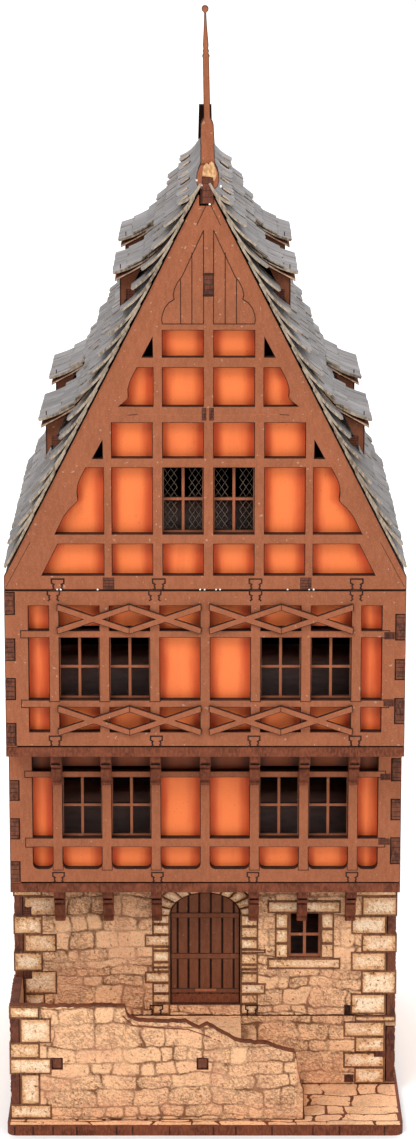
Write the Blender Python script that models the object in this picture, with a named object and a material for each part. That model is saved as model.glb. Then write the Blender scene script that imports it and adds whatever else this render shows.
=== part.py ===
"""Half-timbered town house for tabletop games, built from laser-cut boards.

The house stands on a paved base behind a broken terrace wall.  Two jettied
timber storeys, a stone ground floor and a steep roof with eight shed dormers
lift off one another.  All lengths below are millimetres; the board helper
turns them into metres.  X is the width, Y runs from the front to the back and
Z is up.  The origin is the middle of the underside of the base plate.
"""
import math

import bmesh
import bpy
from mathutils import Vector

MM = 0.001

# --- stock and fits -------------------------------------------------------
BOARD = 3.0
LINER = 2.0
FIT = 0.3
ROOF_BOARD = 1.4
SHORTEST_FINGER = 1.0

# --- overall plan ---------------------------------------------------------
HALF_WIDTH = 61.7
HOUSE_DEPTH = 130.0
BASE_THICK = 3.3
BASE_LIP = 0.8
BASE_CORNER = 3.0
FRONT_LIP = 8.0
BACK_LIP = 6.0
BASE_DEPTH = HOUSE_DEPTH + FRONT_LIP + BACK_LIP
JETTY_FIRST = 13.0
JETTY_GROUND = 27.0
TERRACE_FRONT = -3.0

# --- storey heights and the underside of each module ----------------------
BASEMENT_HEIGHT = 23.9
GROUND_HEIGHT = 46.4
FIRST_HEIGHT = 48.5
SECOND_HEIGHT = 53.2
GROUND_Z = BASE_THICK + BASEMENT_HEIGHT
FIRST_Z = GROUND_Z + GROUND_HEIGHT
SECOND_Z = FIRST_Z + FIRST_HEIGHT
ROOF_Z = SECOND_Z + SECOND_HEIGHT

# --- bays of the timber frame, measured out from the middle ---------------
POST = 3.2
BAY = 15.5
BOARD_EDGE = 7.4
MUNTIN = 1.1

POSTS_EACH_SIDE = int((HALF_WIDTH - BOARD_EDGE - 3.0) / BAY)

# --- rows of openings: up from the underside, down from the top -----------
SECOND_ROWS = (8.0, 15.8, 18.2, SECOND_HEIGHT - 15.2, SECOND_HEIGHT - 12.9, SECOND_HEIGHT - 5.1)
FIRST_ROWS = (7.9, 15.0, 18.0, FIRST_HEIGHT - 10.6)
BRACE_OVERLAP = 0.9
BRACE_WIDTH = 2.0
BRACE_THICK = 1.4
SECOND_FINGERS_LEFT = ((3.6, 10.5), (18.5, 24.9), (31.0, 37.5), (45.6, 52.2))
SECOND_FINGERS_RIGHT = ((10.8, 18.5), (24.9, 30.9), (37.5, 45.3))
FIRST_FINGERS_LEFT = ((3.6, 10.0), (17.9, 24.2), (30.6, 36.7))
FIRST_FINGERS_RIGHT = ((9.7, 17.9), (24.2, 30.6), (37.0, 43.9))
GROUND_FINGERS_LEFT = ((4.0, 12.0), (20.0, 28.0), (36.0, 43.0))
GROUND_FINGERS_RIGHT = ((0.8, 8.0), (16.0, 24.0), (32.0, 40.0))

# --- door and window of the ground floor ----------------------------------
DOOR_HALF = 11.5
DOOR_SILL = BOARD + 0.5
DOOR_RISE = 7.6
DOOR_HEAD = 4.8
DOOR_SPRING = GROUND_HEIGHT - DOOR_HEAD - DOOR_RISE
DOOR_LEAF = 2.0
DOOR_INSET = 0.8
WINDOW_X = 32.0
WINDOW_HALF = 5.2
WINDOW_LOW = 19.8
WINDOW_HIGH = 34.7
FLOOR_TAB_IN = 15.2
FLOOR_TAB_HALF = 1.4

# --- terrace ----------------------------------------------------------------
PARAPET = 14.4
RIB_MIDDLES = (-46.8, -0.85)
TAB_SUNK = 0.6
TAB_HEIGHT = 3.0
TREADS = 4
STEPS_END = 30.6
RAGGED = ((31.2, -14.0), (29.9, -10.4), (28.8, -2.4), (28.0, -0.8), (23.1, 0.3), (19.0, 2.0),
          (10.6, 2.5), (7.2, 4.7), (0.6, 8.3), (-2.0, 6.9), (-6.1, 9.1), (-21.2, 9.6),
          (-24.5, 10.9), (-25.3, 13.4))

# --- corbel rails ----------------------------------------------------------
CORBEL_DROP_FIRST = 13.0
CORBEL_DROP_GROUND = 13.5
HEADER_THICK = 2.0
CORBEL_BACK = 1.6
HEADER_DROP = 7.2

# --- roof ------------------------------------------------------------------
GABLE_RISE = 125.7
RAKE_FOOT = 9.7
RAKE_FOOT_IN = 2.9
APEX_Z = ROOF_Z + GABLE_RISE
PITCH_RUN = (HALF_WIDTH - RAKE_FOOT_IN) / (GABLE_RISE - RAKE_FOOT)
SLOPE = math.hypot(PITCH_RUN, 1.0)
EAVE_Z = APEX_Z - HALF_WIDTH / PITCH_RUN
ROOF_NEAR = -1.0
ROOF_OVERHANG_BACK = 2.0
COURSES = 18
COURSE_LIFT = 2.4
EAVE_LIFT = 0.8
COURSE_LAP = 1.2
ROOF_GAP = 0.4
ROOF_START = 3.5
EAVE_IN = 1.3
ROOF_END = (HALF_WIDTH - EAVE_IN) * SLOPE / PITCH_RUN
KNEE_TOP = EAVE_Z + ROOF_GAP * SLOPE / PITCH_RUN - 2 * FIT
RAKE = 8.5
GABLE_ROWS = ((4.6, 14.3), (17.5, 38.1), (41.2, 52.0), (57.1, 68.9), (72.2, 80.3))
GLAZED_ROW = 1
TIP_LEAST = 2.0
DORMER_LENGTH = 38.0
DORMER_FRONTS = (10.0, HOUSE_DEPTH - 8.0 - DORMER_LENGTH)
DORMER_WALL = 2.0
DORMER_DROPS = (30.4, 75.6)
DORMER_REACH = 12.6
DORMER_EAVE_LIP = 2.1
DORMER_CLEAR = 0.5
DORMER_OFF = ROOF_GAP + ROOF_BOARD + COURSE_LIFT + DORMER_CLEAR
DORMER_PITCH = 28.0
DORMER_SLAB = 1.6
DORMER_OVERHANG = 3.0
FINIAL_FOOT_Z = APEX_Z + 1.6
FINIAL_HEIGHT = 49.8
FINIAL_TOP_Z = FINIAL_FOOT_Z + FINIAL_HEIGHT
RIDGE_LOW = APEX_Z - 15.0
RIDGE_TOP = APEX_Z + 0.8
RIDGE_TAB = 8.0
ATTIC_TAB_MIDDLE = 30.35
ATTIC_TAB_HALF = 1.45
INFILL_IN = 6.0

FRONT_Y = FRONT_LIP - BASE_DEPTH / 2


def paint(obj, name, color, roughness):
    """Give a sub-part its own principled material."""
    material = bpy.data.materials.new(name)
    material.use_nodes = True
    shader = material.node_tree.nodes["Principled BSDF"]
    shader.inputs["Base Color"].default_value = (*color, 1.0)
    shader.inputs["Roughness"].default_value = roughness
    material.diffuse_color = (*color, 1.0)
    obj.data.materials.clear()
    obj.data.materials.append(material)


WOOD = ((0.36, 0.13, 0.06), 0.75)
BURNT = ((0.10, 0.04, 0.02), 0.8)
PLASTER = ((0.92, 0.18, 0.05), 0.7)
STONE = ((0.78, 0.55, 0.34), 0.9)
SLATE = ((0.27, 0.26, 0.26), 0.85)
PLANK = ((0.20, 0.08, 0.04), 0.75)


def board(name, plane, low, thick, outline, holes, look):
    """Cut a flat board from an outline with holes.

    plane "xz" stands across the house, "yz" stands along it and "xy" lies
    flat; low is the lower coordinate of its faces on the remaining axis.
    Outline and holes are lists of (u, v) in millimetres, with the depth
    measured from the front of the second storey.
    """
    curve = bpy.data.curves.new(name, "CURVE")
    curve.dimensions = "2D"
    curve.fill_mode = "BOTH"
    curve.extrude = thick * MM / 2
    for ring in [outline, *holes]:
        spline = curve.splines.new("POLY")
        spline.points.add(len(ring) - 1)
        for point, (u, v) in zip(spline.points, ring):
            point.co = (u * MM, v * MM, 0.0, 1.0)
        spline.use_cyclic_u = True
    obj = bpy.data.objects.new(name, curve)
    bpy.context.scene.collection.objects.link(obj)
    middle = (low + thick / 2) * MM
    if plane == "xz":
        obj.rotation_euler = (math.pi / 2, 0.0, 0.0)
        obj.location = (0.0, middle + FRONT_Y * MM, 0.0)
    elif plane == "yz":
        obj.rotation_euler = (math.pi / 2, 0.0, math.pi / 2)
        obj.location = (middle, FRONT_Y * MM, 0.0)
    else:
        obj.location = (0.0, FRONT_Y * MM, middle)
    paint(obj, name, *look)
    return obj


def rect(u0, v0, u1, v1):
    """Corner points of a rectangle, counter-clockwise."""
    return [(u0, v0), (u1, v0), (u1, v1), (u0, v1)]


def rounded(u0, v0, u1, v1, radius, steps=5):
    """Rectangle with rounded corners."""
    points = []
    centres = ((u1 - radius, v1 - radius), (u0 + radius, v1 - radius),
               (u0 + radius, v0 + radius), (u1 - radius, v0 + radius))
    for quarter, (cu, cv) in enumerate(centres):
        for step in range(steps + 1):
            angle = math.pi / 2 * (quarter + step / steps)
            points.append((cu + radius * math.cos(angle), cv + radius * math.sin(angle)))
    return points


def comb_edge(fixed, step, low, high, fingers, upward):
    """Points of a finger-jointed upright edge.

    The edge runs at u = fixed between low and high; inside each finger range
    it moves to u = fixed + step.
    """
    points = [(fixed, low)]
    for start, end in fingers:
        start = max(start, low)
        end = min(end, high)
        if end - start < SHORTEST_FINGER:
            continue
        if start <= low:
            points = [(fixed + step, low)]
        else:
            points += [(fixed, start), (fixed + step, start)]
        if end >= high:
            points.append((fixed + step, high))
            return points if upward else points[::-1]
        points += [(fixed + step, end), (fixed, end)]
    points.append((fixed, high))
    return points if upward else points[::-1]


def shifted(fingers, base):
    """Finger ranges moved up to the storey they belong to."""
    return [(base + start, base + end) for start, end in fingers]


def grown(fingers, amount):
    """Finger ranges made longer at both ends, for the slots they enter."""
    return [(start - amount, end + amount) for start, end in fingers]


def front_outline(low, high, left, right):
    """Outline of a front or back board with slots for the side fingers."""
    step = BOARD + FIT
    right_edge = comb_edge(HALF_WIDTH, -step, low, high, grown(right, FIT), True)
    left_edge = comb_edge(-HALF_WIDTH, step, low, high, grown(left, FIT), False)
    return right_edge + left_edge


def side_outline(near, far, low, high, fingers, knee=None):
    """Outline of a side wall whose fingers reach the front and back faces.

    A knee height carries the wall up between the boards of the module above.
    """
    near_edge = comb_edge(near + BOARD + FIT, -BOARD - FIT, low, high, fingers, False)
    far_edge = comb_edge(far - BOARD - FIT, BOARD + FIT, low, high, fingers, True)
    if knee:
        inset = BOARD + 2 * FIT
        far_edge += [(far - inset, high), (far - inset, knee), (near + inset, knee),
                     (near + inset, high)]
    return far_edge + near_edge


def panes(u0, v0, u1, v1):
    """The four panes left between the crossed muntins of a window."""
    um = (u0 + u1) / 2
    vm = (v0 + v1) / 2
    half = MUNTIN / 2
    holes = []
    for left, right in ((u0, um - half), (um + half, u1)):
        for bottom, top in ((v0, vm - half), (vm + half, v1)):
            holes.append(rect(left, bottom, right, top))
    return holes


def post_centres():
    """Middle lines of the posts across the house."""
    return [BAY * k for k in range(-POSTS_EACH_SIDE, POSTS_EACH_SIDE + 1)]


def bay_cells():
    """Clear spans between the posts, from the left board to the right."""
    half = POST / 2
    posts = post_centres()
    edge = HALF_WIDTH - BOARD_EDGE
    cells = [(-edge, posts[0] - half)]
    for left, right in zip(posts, posts[1:]):
        cells.append((left + half, right - half))
    cells.append((posts[-1] + half, edge))
    return cells


def plate(name, near, far, low, thick, half, look):
    """Floor plate lying flat across the walls below it."""
    return board(name, "xy", low, thick, rect(-half, near, half, far), [], look)


def side_windows(near, far, low, high):
    """Panes of the windows spread along a side wall."""
    holes = []
    count = max(2, int((far - near - 24.0) // (2 * BAY)))
    pitch = (far - near) / count
    for k in range(count):
        centre = near + pitch * (k + 0.5)
        holes += panes(centre - 6.2, low, centre + 6.2, high)
    return holes


def storey(name, near, base, top, rows, window_row, left, right, knee=None):
    """Walls of one timber storey: framed front with its infill, three plain."""
    low = base + BOARD + FIT
    cells = bay_cells()
    holes = []
    for start, end in zip(rows[::2], rows[1::2]):
        holes += [rect(u0, base + start, u1, base + end) for u0, u1 in cells]
    fingers_left = shifted(left, base)
    fingers_right = shifted(right, base)
    outline = front_outline(low, top, fingers_left, fingers_right)
    board(name + "_front_frame", "xz", near, BOARD, outline, holes, WOOD)
    inner = HALF_WIDTH - BOARD - FIT
    sill, head = base + window_row[0], base + window_row[1]
    glazed = []
    for k in (1, 2, -3, -2):
        glazed += panes(cells[k][0] + 0.2, sill + 0.2, cells[k][1] - 0.2, head - 0.2)
    board(name + "_front_infill", "xz", near + BOARD + FIT, LINER,
          rect(-inner, low, inner, top), glazed, PLASTER)
    side_holes = side_windows(near, HOUSE_DEPTH, sill, head)
    for side, sign, fingers in (("left", -1, fingers_left), ("right", 1, fingers_right)):
        face = -HALF_WIDTH if sign < 0 else HALF_WIDTH - BOARD
        outline = side_outline(near, HOUSE_DEPTH, low, top, fingers, knee)
        board(name + "_" + side + "_wall", "yz", face, BOARD, outline, side_holes, WOOD)
    back = []
    for k in (1, 2, -3, -2):
        back += panes(cells[k][0], sill, cells[k][1], head)
    outline = front_outline(low, top, fingers_left, fingers_right)
    board(name + "_back_wall", "xz", HOUSE_DEPTH - BOARD, BOARD, outline, back, WOOD)
    plate(name + "_floor_plate", near, HOUSE_DEPTH, base, BOARD, HALF_WIDTH, BURNT)


def corbel_rail(name, near, reach, top, drop, centres):
    """Header strip under a jetty with stepped corbels standing out from it."""
    mesh = bpy.data.meshes.new(name)
    shape = bmesh.new()
    depth = (near - FIT - reach)
    profile = [(near - FIT, top), (near - FIT, top - drop), (near - FIT - 1.6, top - drop),
               (near - FIT - 2.4, top - drop * 0.62), (near - FIT - depth * 0.55, top - drop * 0.55),
               (near - FIT - depth * 0.62, top - drop * 0.3), (reach + 1.0, top - drop * 0.24),
               (reach, top)]
    rail_front = near - FIT - HEADER_THICK
    half = BOARD / 2
    header = [(near - FIT, top), (near - FIT, top - HEADER_DROP),
              (rail_front, top - HEADER_DROP), (rail_front, top)]
    prism(shape, header, -HALF_WIDTH + FIT, HALF_WIDTH - FIT)
    shape.to_mesh(mesh)
    shape.free()
    obj = bpy.data.objects.new(name, mesh)
    bpy.context.scene.collection.objects.link(obj)
    for number, centre in enumerate(centres):
        blade_mesh = bpy.data.meshes.new(name + "_blade")
        blade_shape = bmesh.new()
        prism(blade_shape, profile, centre - half, centre + half)
        blade_shape.to_mesh(blade_mesh)
        blade_shape.free()
        blade = bpy.data.objects.new(name + "_blade_%d" % number, blade_mesh)
        bpy.context.scene.collection.objects.link(blade)
        blade.hide_render = True
        blade.display_type = "WIRE"
        union = obj.modifiers.new("corbel", "BOOLEAN")
        union.operation = "UNION"
        union.solver = "EXACT"
        union.object = blade
    paint(obj, name, *WOOD)
    return obj


def prism(shape, ring, u0, u1):
    """Closed prism along X between u0 and u1 over a ring of (depth, height)."""
    first = [shape.verts.new((u0 * MM, (y + FRONT_Y) * MM, z * MM)) for y, z in ring]
    last = [shape.verts.new((u1 * MM, (y + FRONT_Y) * MM, z * MM)) for y, z in ring]
    faces = [shape.faces.new(first), shape.faces.new(last[::-1])]
    count = len(ring)
    for k in range(count):
        n = (k + 1) % count
        faces.append(shape.faces.new((first[n], first[k], last[k], last[n])))
    bmesh.ops.recalc_face_normals(shape, faces=faces)
    return faces


def base_module():
    """Paved base, terrace in front of the door and the basement walls."""
    inner = HALF_WIDTH - BOARD - FIT
    low = BASE_THICK + FIT
    near = JETTY_GROUND
    board("base_plate", "xy", 0.0, BASE_THICK,
          rounded(-HALF_WIDTH - BASE_LIP, -FRONT_LIP, HALF_WIDTH + BASE_LIP,
                  BASE_DEPTH - FRONT_LIP, BASE_CORNER), [], STONE)
    deck = GROUND_Z - 0.2
    top = deck + PARAPET
    ragged = [(RAGGED[0][0], low)] + [(u, deck + v) for u, v in RAGGED]
    left = [(low + 4.6, deck - 8.3), (deck + 2.1, top - 4.3)]
    edge = comb_edge(-HALF_WIDTH, BOARD + FIT, low, top, grown(left, FIT), False)
    rib_top = deck - BOARD - FIT
    tab_low, tab_high = rib_top - TAB_HEIGHT, rib_top
    tabs = [rect(u - BOARD / 2 - FIT, tab_low - FIT, u + BOARD / 2 + FIT, tab_high + FIT)
            for u in RIB_MIDDLES]
    board("terrace_front_wall", "xz", TERRACE_FRONT, BOARD, ragged + edge, tabs, STONE)
    behind = TERRACE_FRONT + BOARD + FIT
    near_edge = comb_edge(behind, -BOARD - FIT, low, top, left, False)
    board("terrace_left_wall", "yz", -HALF_WIDTH, BOARD,
          [(near - FIT, low), (near - FIT, top)] + near_edge, [], STONE)
    tab_face = TERRACE_FRONT + TAB_SUNK
    for number, centre in enumerate(RIB_MIDDLES, 1):
        board("terrace_rib_%d" % number, "yz", centre - BOARD / 2, BOARD,
              [(near - FIT, low), (near - FIT, rib_top), (behind, rib_top), (behind, tab_high),
               (tab_face, tab_high), (tab_face, tab_low), (behind, tab_low), (behind, low)],
              [], WOOD)
    board("terrace_floor", "xy", deck - BOARD, BOARD,
          rect(-inner, behind, DOOR_HALF, near - FIT), [], STONE)
    run = (STEPS_END - DOOR_HALF - FIT) / TREADS
    rise = (deck - low) / (TREADS + 1)
    steps = [(STEPS_END, low)]
    for k in range(TREADS):
        height = low + rise * (k + 1)
        steps += [(STEPS_END - run * k, height), (STEPS_END - run * (k + 1), height)]
    steps.append((DOOR_HALF + FIT, low))
    board("terrace_steps", "xz", behind, near - FIT - behind, steps, [], STONE)
    top = GROUND_Z - FIT
    right = [(low + 0.8, top - 3.8)]
    outline = front_outline(low, top, right, right)
    board("basement_front_wall", "xz", near, BOARD, outline, [], STONE)
    arch = arch_outline(9.0, low + 2.0, top - 14.9, 6.0)
    board("basement_back_wall", "xz", HOUSE_DEPTH - BOARD, BOARD, outline, [arch], STONE)
    for side, face in (("left", -HALF_WIDTH), ("right", HALF_WIDTH - BOARD)):
        board("basement_" + side + "_wall", "yz", face, BOARD,
              side_outline(near, HOUSE_DEPTH, low, top, right), [], STONE)


def arch_outline(half, sill, spring, rise, centre=0.0, steps=12):
    """Opening with upright sides and a pointed-flat arched head."""
    points = [(centre - half, sill), (centre + half, sill)]
    for step in range(steps + 1):
        angle = math.pi * step / steps
        points.append((centre + half * math.cos(angle), spring + rise * math.sin(angle)))
    return points


def ground_module():
    """Stone ground floor with its arched plank door and small window."""
    near = JETTY_GROUND
    base = GROUND_Z
    top = FIRST_Z - FIT
    fingers_left = shifted(GROUND_FINGERS_LEFT, base)
    fingers_right = shifted(GROUND_FINGERS_RIGHT, base)
    outline = front_outline(base, top, fingers_left, fingers_right)
    sill = base + DOOR_SILL
    spring = base + DOOR_SPRING
    door = arch_outline(DOOR_HALF, sill, spring, DOOR_RISE)
    window = rect(WINDOW_X - WINDOW_HALF, base + WINDOW_LOW, WINDOW_X + WINDOW_HALF,
                  base + WINDOW_HIGH)
    tab_low, tab_high = base + 2 * FIT, base + BOARD + FIT
    tab_left = HALF_WIDTH - FLOOR_TAB_IN - FLOOR_TAB_HALF
    tab_right = HALF_WIDTH - FLOOR_TAB_IN + FLOOR_TAB_HALF
    slot = rect(tab_left - FIT, tab_low - FIT, tab_right + FIT, tab_high + FIT)
    board("ground_front_wall", "xz", near, BOARD, outline, [door, window, slot], STONE)
    inner = HALF_WIDTH - BOARD - FIT
    tab = near + TAB_SUNK
    behind = near + BOARD + FIT
    floor = [(-inner, behind), (tab_left, behind), (tab_left, tab), (tab_right, tab),
             (tab_right, behind), (inner, behind),
             (inner, HOUSE_DEPTH - BOARD - FIT), (-inner, HOUSE_DEPTH - BOARD - FIT)]
    board("ground_floor_plate", "xy", tab_low, tab_high - tab_low, floor, [], WOOD)
    for side, face, fingers in (("left", -HALF_WIDTH, fingers_left),
                                ("right", HALF_WIDTH - BOARD, fingers_right)):
        holes = side_windows(near, HOUSE_DEPTH, base + WINDOW_LOW, base + WINDOW_HIGH)
        board("ground_" + side + "_wall", "yz", face, BOARD,
              side_outline(near, HOUSE_DEPTH, base, top, fingers), holes, STONE)
    back_door = arch_outline(DOOR_HALF, sill, spring, DOOR_RISE, -25.0)
    back_window = panes(20.0, base + WINDOW_LOW, 32.4, base + WINDOW_HIGH)
    board("ground_back_wall", "xz", HOUSE_DEPTH - BOARD, BOARD, outline,
          [back_door, *back_window], STONE)
    frame = rect(WINDOW_X - WINDOW_HALF + FIT, base + WINDOW_LOW + FIT,
                 WINDOW_X + WINDOW_HALF - FIT, base + WINDOW_HIGH - FIT)
    glass = panes(frame[0][0] + 0.7, frame[0][1] + 0.7, frame[2][0] - 0.7, frame[2][1] - 0.7)
    board("ground_window_frame", "xz", near + 1.0, 1.5, frame, glass, WOOD)
    door_leaf(near, sill, spring)
    corbel_rail("ground_corbel_rail", near, JETTY_FIRST + CORBEL_BACK, top, CORBEL_DROP_GROUND,
                [centre for centre in post_centres() if centre])


def door_leaf(near, sill, spring):
    """Plank door whose left back edge is the hinge line."""
    hinge_x = -DOOR_HALF + FIT
    hinge_y = near + DOOR_INSET + DOOR_LEAF
    empty = bpy.data.objects.new("door_hinge", None)
    bpy.context.scene.collection.objects.link(empty)
    empty.location = (hinge_x * MM, (hinge_y + FRONT_Y) * MM, sill * MM)
    ring = arch_outline(DOOR_HALF - FIT, sill + FIT, spring, DOOR_RISE - FIT)
    leaf = board("door_leaf", "xz", near + DOOR_INSET, DOOR_LEAF, ring, [], PLANK)
    leaf.parent = empty
    leaf.matrix_parent_inverse = empty.matrix_basis.inverted()


def lattice(name, u0, u1, v0, v1, near):
    """Crossed zig-zag braces cut from one thin sheet."""
    um = (u0 + u1) / 2
    half = BRACE_WIDTH / 2
    quarter = (um - u0) / 2
    vm = (v0 + v1) / 2
    slope = (v1 - v0 - BRACE_WIDTH) / (um - u0)
    gap = half * math.sqrt(1 + slope * slope) / slope
    side = half * math.sqrt(1 + slope * slope)
    top_ring = [(u0, v1), (u0, v1 - 2 * side), (u0 + quarter - gap, vm), (u0, v0 + 2 * side),
                (u0, v0), (u0 + quarter, vm - side), (um, v0), (um + quarter, vm - side),
                (u1, v0), (u1, v0 + 2 * side), (um + quarter + gap, vm), (u1, v1 - 2 * side),
                (u1, v1), (um + quarter, vm + side), (um, v1), (u0 + quarter, vm + side)]
    hole = [(u0 + quarter + gap, vm), (um, v0 + 2 * side), (um + quarter - gap, vm),
            (um, v1 - 2 * side)]
    return board(name, "xz", near, BRACE_THICK, top_ring, [hole], WOOD)


def second_module():
    """Upper timber storey with its four crossed brace panels."""
    base = SECOND_Z
    storey("second", 0.0, base, ROOF_Z - FIT, SECOND_ROWS, SECOND_ROWS[2:4],
           SECOND_FINGERS_LEFT, SECOND_FINGERS_RIGHT, KNEE_TOP)
    inner = POST / 2 - 0.4
    outer = POSTS_EACH_SIDE * BAY - POST / 2 + 0.5
    for height, low, high in (("lower", *SECOND_ROWS[:2]), ("upper", *SECOND_ROWS[4:])):
        for side, u0, u1 in (("left", -outer, -inner), ("right", inner, outer)):
            lattice("second_brace_%s_%s" % (height, side), u0, u1, base + low - BRACE_OVERLAP,
                    base + high + BRACE_OVERLAP, -BRACE_THICK - FIT)


def slope_point(distance, offset):
    """Point on the right roof slope: distance down from the ridge, outwards."""
    along = (PITCH_RUN / SLOPE, -1.0 / SLOPE)
    out = (1.0 / SLOPE, PITCH_RUN / SLOPE)
    return (along[0] * distance + out[0] * offset,
            APEX_Z + along[1] * distance + out[1] * offset)


def edge_x(z):
    """Half width of the gable at a height."""
    return PITCH_RUN * (APEX_Z - z)


def roof_slope(name, sign):
    """Boarded slope with lapped courses, each laid flatter than the slope."""
    ring = [slope_point(ROOF_START, ROOF_GAP), slope_point(ROOF_START, ROOF_GAP + ROOF_BOARD)]
    pitch = (ROOF_END - ROOF_START) / COURSES
    for k in range(COURSES):
        start = ROOF_START + pitch * k
        end = start + pitch
        lift = COURSE_LIFT if k < COURSES - 1 else EAVE_LIFT
        ring.append(slope_point(end + COURSE_LAP * 0.2, ROOF_GAP + ROOF_BOARD + lift))
        if k < COURSES - 1:
            ring.append(slope_point(end, ROOF_GAP + ROOF_BOARD))
    ring.append(slope_point(ROOF_END, ROOF_GAP))
    if sign < 0:
        ring = [(-u, v) for u, v in ring]
    else:
        ring = ring[::-1]
    return board(name, "xz", ROOF_NEAR, HOUSE_DEPTH + ROOF_OVERHANG_BACK - ROOF_NEAR,
                 ring, [], SLATE)


def gable_cells():
    """Openings of the gable frame; the last of each row follows the slope."""
    cells = []
    half = POST / 2
    for row in GABLE_ROWS:
        low, high = ROOF_Z + row[0], ROOF_Z + row[1]
        limit_low, limit = edge_x(low) - RAKE, edge_x(high) - RAKE
        count = 1 + int((limit - half - TIP_LEAST) / BAY)
        for k in range(count):
            u0 = BAY * k + half
            u1 = BAY * (k + 1) - half
            ring = rect(u0, low, u1, high)
            if k == count - 1 and not -1.0 < limit - u1 < TIP_LEAST:
                ring[1] = (limit_low, low)
                ring[2] = (limit, high)
            cells.append(ring)
            cells.append([(-u, v) for u, v in ring[::-1]])
    return cells


def gable_outline(low):
    """Gable board with a short upright at the eaves and a notched apex."""
    half = BOARD / 2 + FIT
    shoulder = APEX_Z - 4.4
    right = [(HALF_WIDTH, low), (HALF_WIDTH, EAVE_Z), (edge_x(shoulder), shoulder),
             (half, shoulder), (half, RIDGE_TOP - RIDGE_TAB - FIT)]
    return right + [(-u, v) for u, v in right[::-1]]


def back_gable_outline(low):
    """Back gable board whose apex runs up into a short finial stub."""
    neck = APEX_Z - 3.0
    right = [(HALF_WIDTH, low), (HALF_WIDTH, EAVE_Z), (edge_x(neck), neck),
             (edge_x(neck), neck + 1.6), (2.4, neck + 1.6), (2.1, APEX_Z + 10.0)]
    return right + [(-u, v) for u, v in right[::-1]]


def dormer_meet(u, z):
    """Where a line rising inwards from (u, z) at the dormer pitch meets the courses."""
    rise = math.tan(math.radians(DORMER_PITCH))
    limit = APEX_Z + DORMER_OFF * SLOPE / PITCH_RUN
    inner = (limit - z - u * rise) / (1 / PITCH_RUN - rise)
    return inner, z + (u - inner) * rise


def dormer_eave(tier):
    """Outer edge of a dormer roof, stood off from the main slope."""
    height = APEX_Z - DORMER_DROPS[tier]
    return edge_x(height) + DORMER_REACH, height


def dormer_box(name, sign, near, eave):
    """Outer wall and two cheeks of one shed dormer standing on the slope."""
    pitch = math.radians(DORMER_PITCH)
    face = eave[0] - DORMER_EAVE_LIP
    under = eave[1] + DORMER_EAVE_LIP * math.tan(pitch) - DORMER_SLAB / math.cos(pitch) - FIT
    foot = APEX_Z + (DORMER_OFF * SLOPE - face) / PITCH_RUN
    ring = [(face, foot), (face, under), dormer_meet(face, under)]
    mesh = bpy.data.meshes.new(name)
    shape = bmesh.new()
    first = [shape.verts.new((sign * u * MM, (near + FRONT_Y) * MM, v * MM)) for u, v in ring]
    last = [shape.verts.new((sign * u * MM, (near + DORMER_LENGTH + FRONT_Y) * MM, v * MM))
            for u, v in ring]
    faces = [shape.faces.new(first), shape.faces.new(last[::-1])]
    for k in range(3):
        n = (k + 1) % 3
        faces.append(shape.faces.new((first[n], first[k], last[k], last[n])))
    bmesh.ops.recalc_face_normals(shape, faces=faces)
    shape.to_mesh(mesh)
    shape.free()
    obj = bpy.data.objects.new(name, mesh)
    bpy.context.scene.collection.objects.link(obj)
    room = (face - 40.0, face - DORMER_WALL, near + DORMER_WALL, near + DORMER_LENGTH - DORMER_WALL,
            foot - 20.0, under + 20.0)
    middle = near + DORMER_LENGTH / 2
    sill = foot + (under - foot) * 0.28
    head = foot + (under - foot) * 0.82
    cuts = [room]
    for centre in (middle - 10.0, middle + 10.0):
        cuts.append((face - 3.0, face + 2.0, centre - 5.0, centre + 5.0, sill, head))
    for number, (u0, u1, y0, y1, z0, z1) in enumerate(cuts):
        cutter = block("%s_cut_%d" % (name, number), sign * u0, sign * u1, y0, y1, z0, z1)
        cut = obj.modifiers.new("opening", "BOOLEAN")
        cut.operation = "DIFFERENCE"
        cut.solver = "EXACT"
        cut.object = cutter
    paint(obj, name, *WOOD)
    return obj


def block(name, u0, u1, y0, y1, z0, z1):
    """Hidden square cutter between two corners."""
    mesh = bpy.data.meshes.new(name)
    shape = bmesh.new()
    bmesh.ops.create_cube(shape, size=1.0)
    size = Vector((abs(u1 - u0), y1 - y0, z1 - z0)) * MM
    middle = Vector(((u0 + u1) / 2, (y0 + y1) / 2 + FRONT_Y, (z0 + z1) / 2)) * MM
    for vert in shape.verts:
        vert.co = Vector(a * b for a, b in zip(vert.co, size)) + middle
    shape.to_mesh(mesh)
    shape.free()
    obj = bpy.data.objects.new(name, mesh)
    bpy.context.scene.collection.objects.link(obj)
    obj.hide_render = True
    obj.display_type = "WIRE"
    return obj


def dormer_roof(name, sign, near, eave):
    """Sloping slab over one dormer, from the courses out to its eave."""
    drop = DORMER_SLAB / math.cos(math.radians(DORMER_PITCH))
    low = (eave[0], eave[1] - drop)
    ring = [low, eave, dormer_meet(*eave), dormer_meet(*low)]
    ring = [(sign * u, v) for u, v in ring]
    board(name, "xz", near - DORMER_OVERHANG, DORMER_LENGTH + 2 * DORMER_OVERHANG,
          ring, [], SLATE)


def finial_outline(top):
    """Turned-looking finial: foot, shoulder, shaft, notches and ball."""
    foot = FINIAL_FOOT_Z
    right = [(1.9, foot - 0.2), (3.9, foot - 0.2), (3.7, foot + 2.0), (2.8, foot + 9.0), (2.0, foot + 16.3),
             (1.05, foot + 17.2), (0.95, top - 15.2), (1.15, top - 14.4), (0.75, top - 13.6),
             (1.0, top - 12.4), (0.45, top - 5.8), (0.35, top - 2.0)]
    ball = []
    for step in range(9):
        angle = math.radians(-70.0 + 160.0 * step / 8)
        ball.append((0.95 * math.cos(angle), top - 0.95 + 0.95 * math.sin(angle)))
    points = right + ball[:-1] + [(0.0, top)]
    return points + [(-u, v) for u, v in points[::-1] if u > 0.0]


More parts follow.
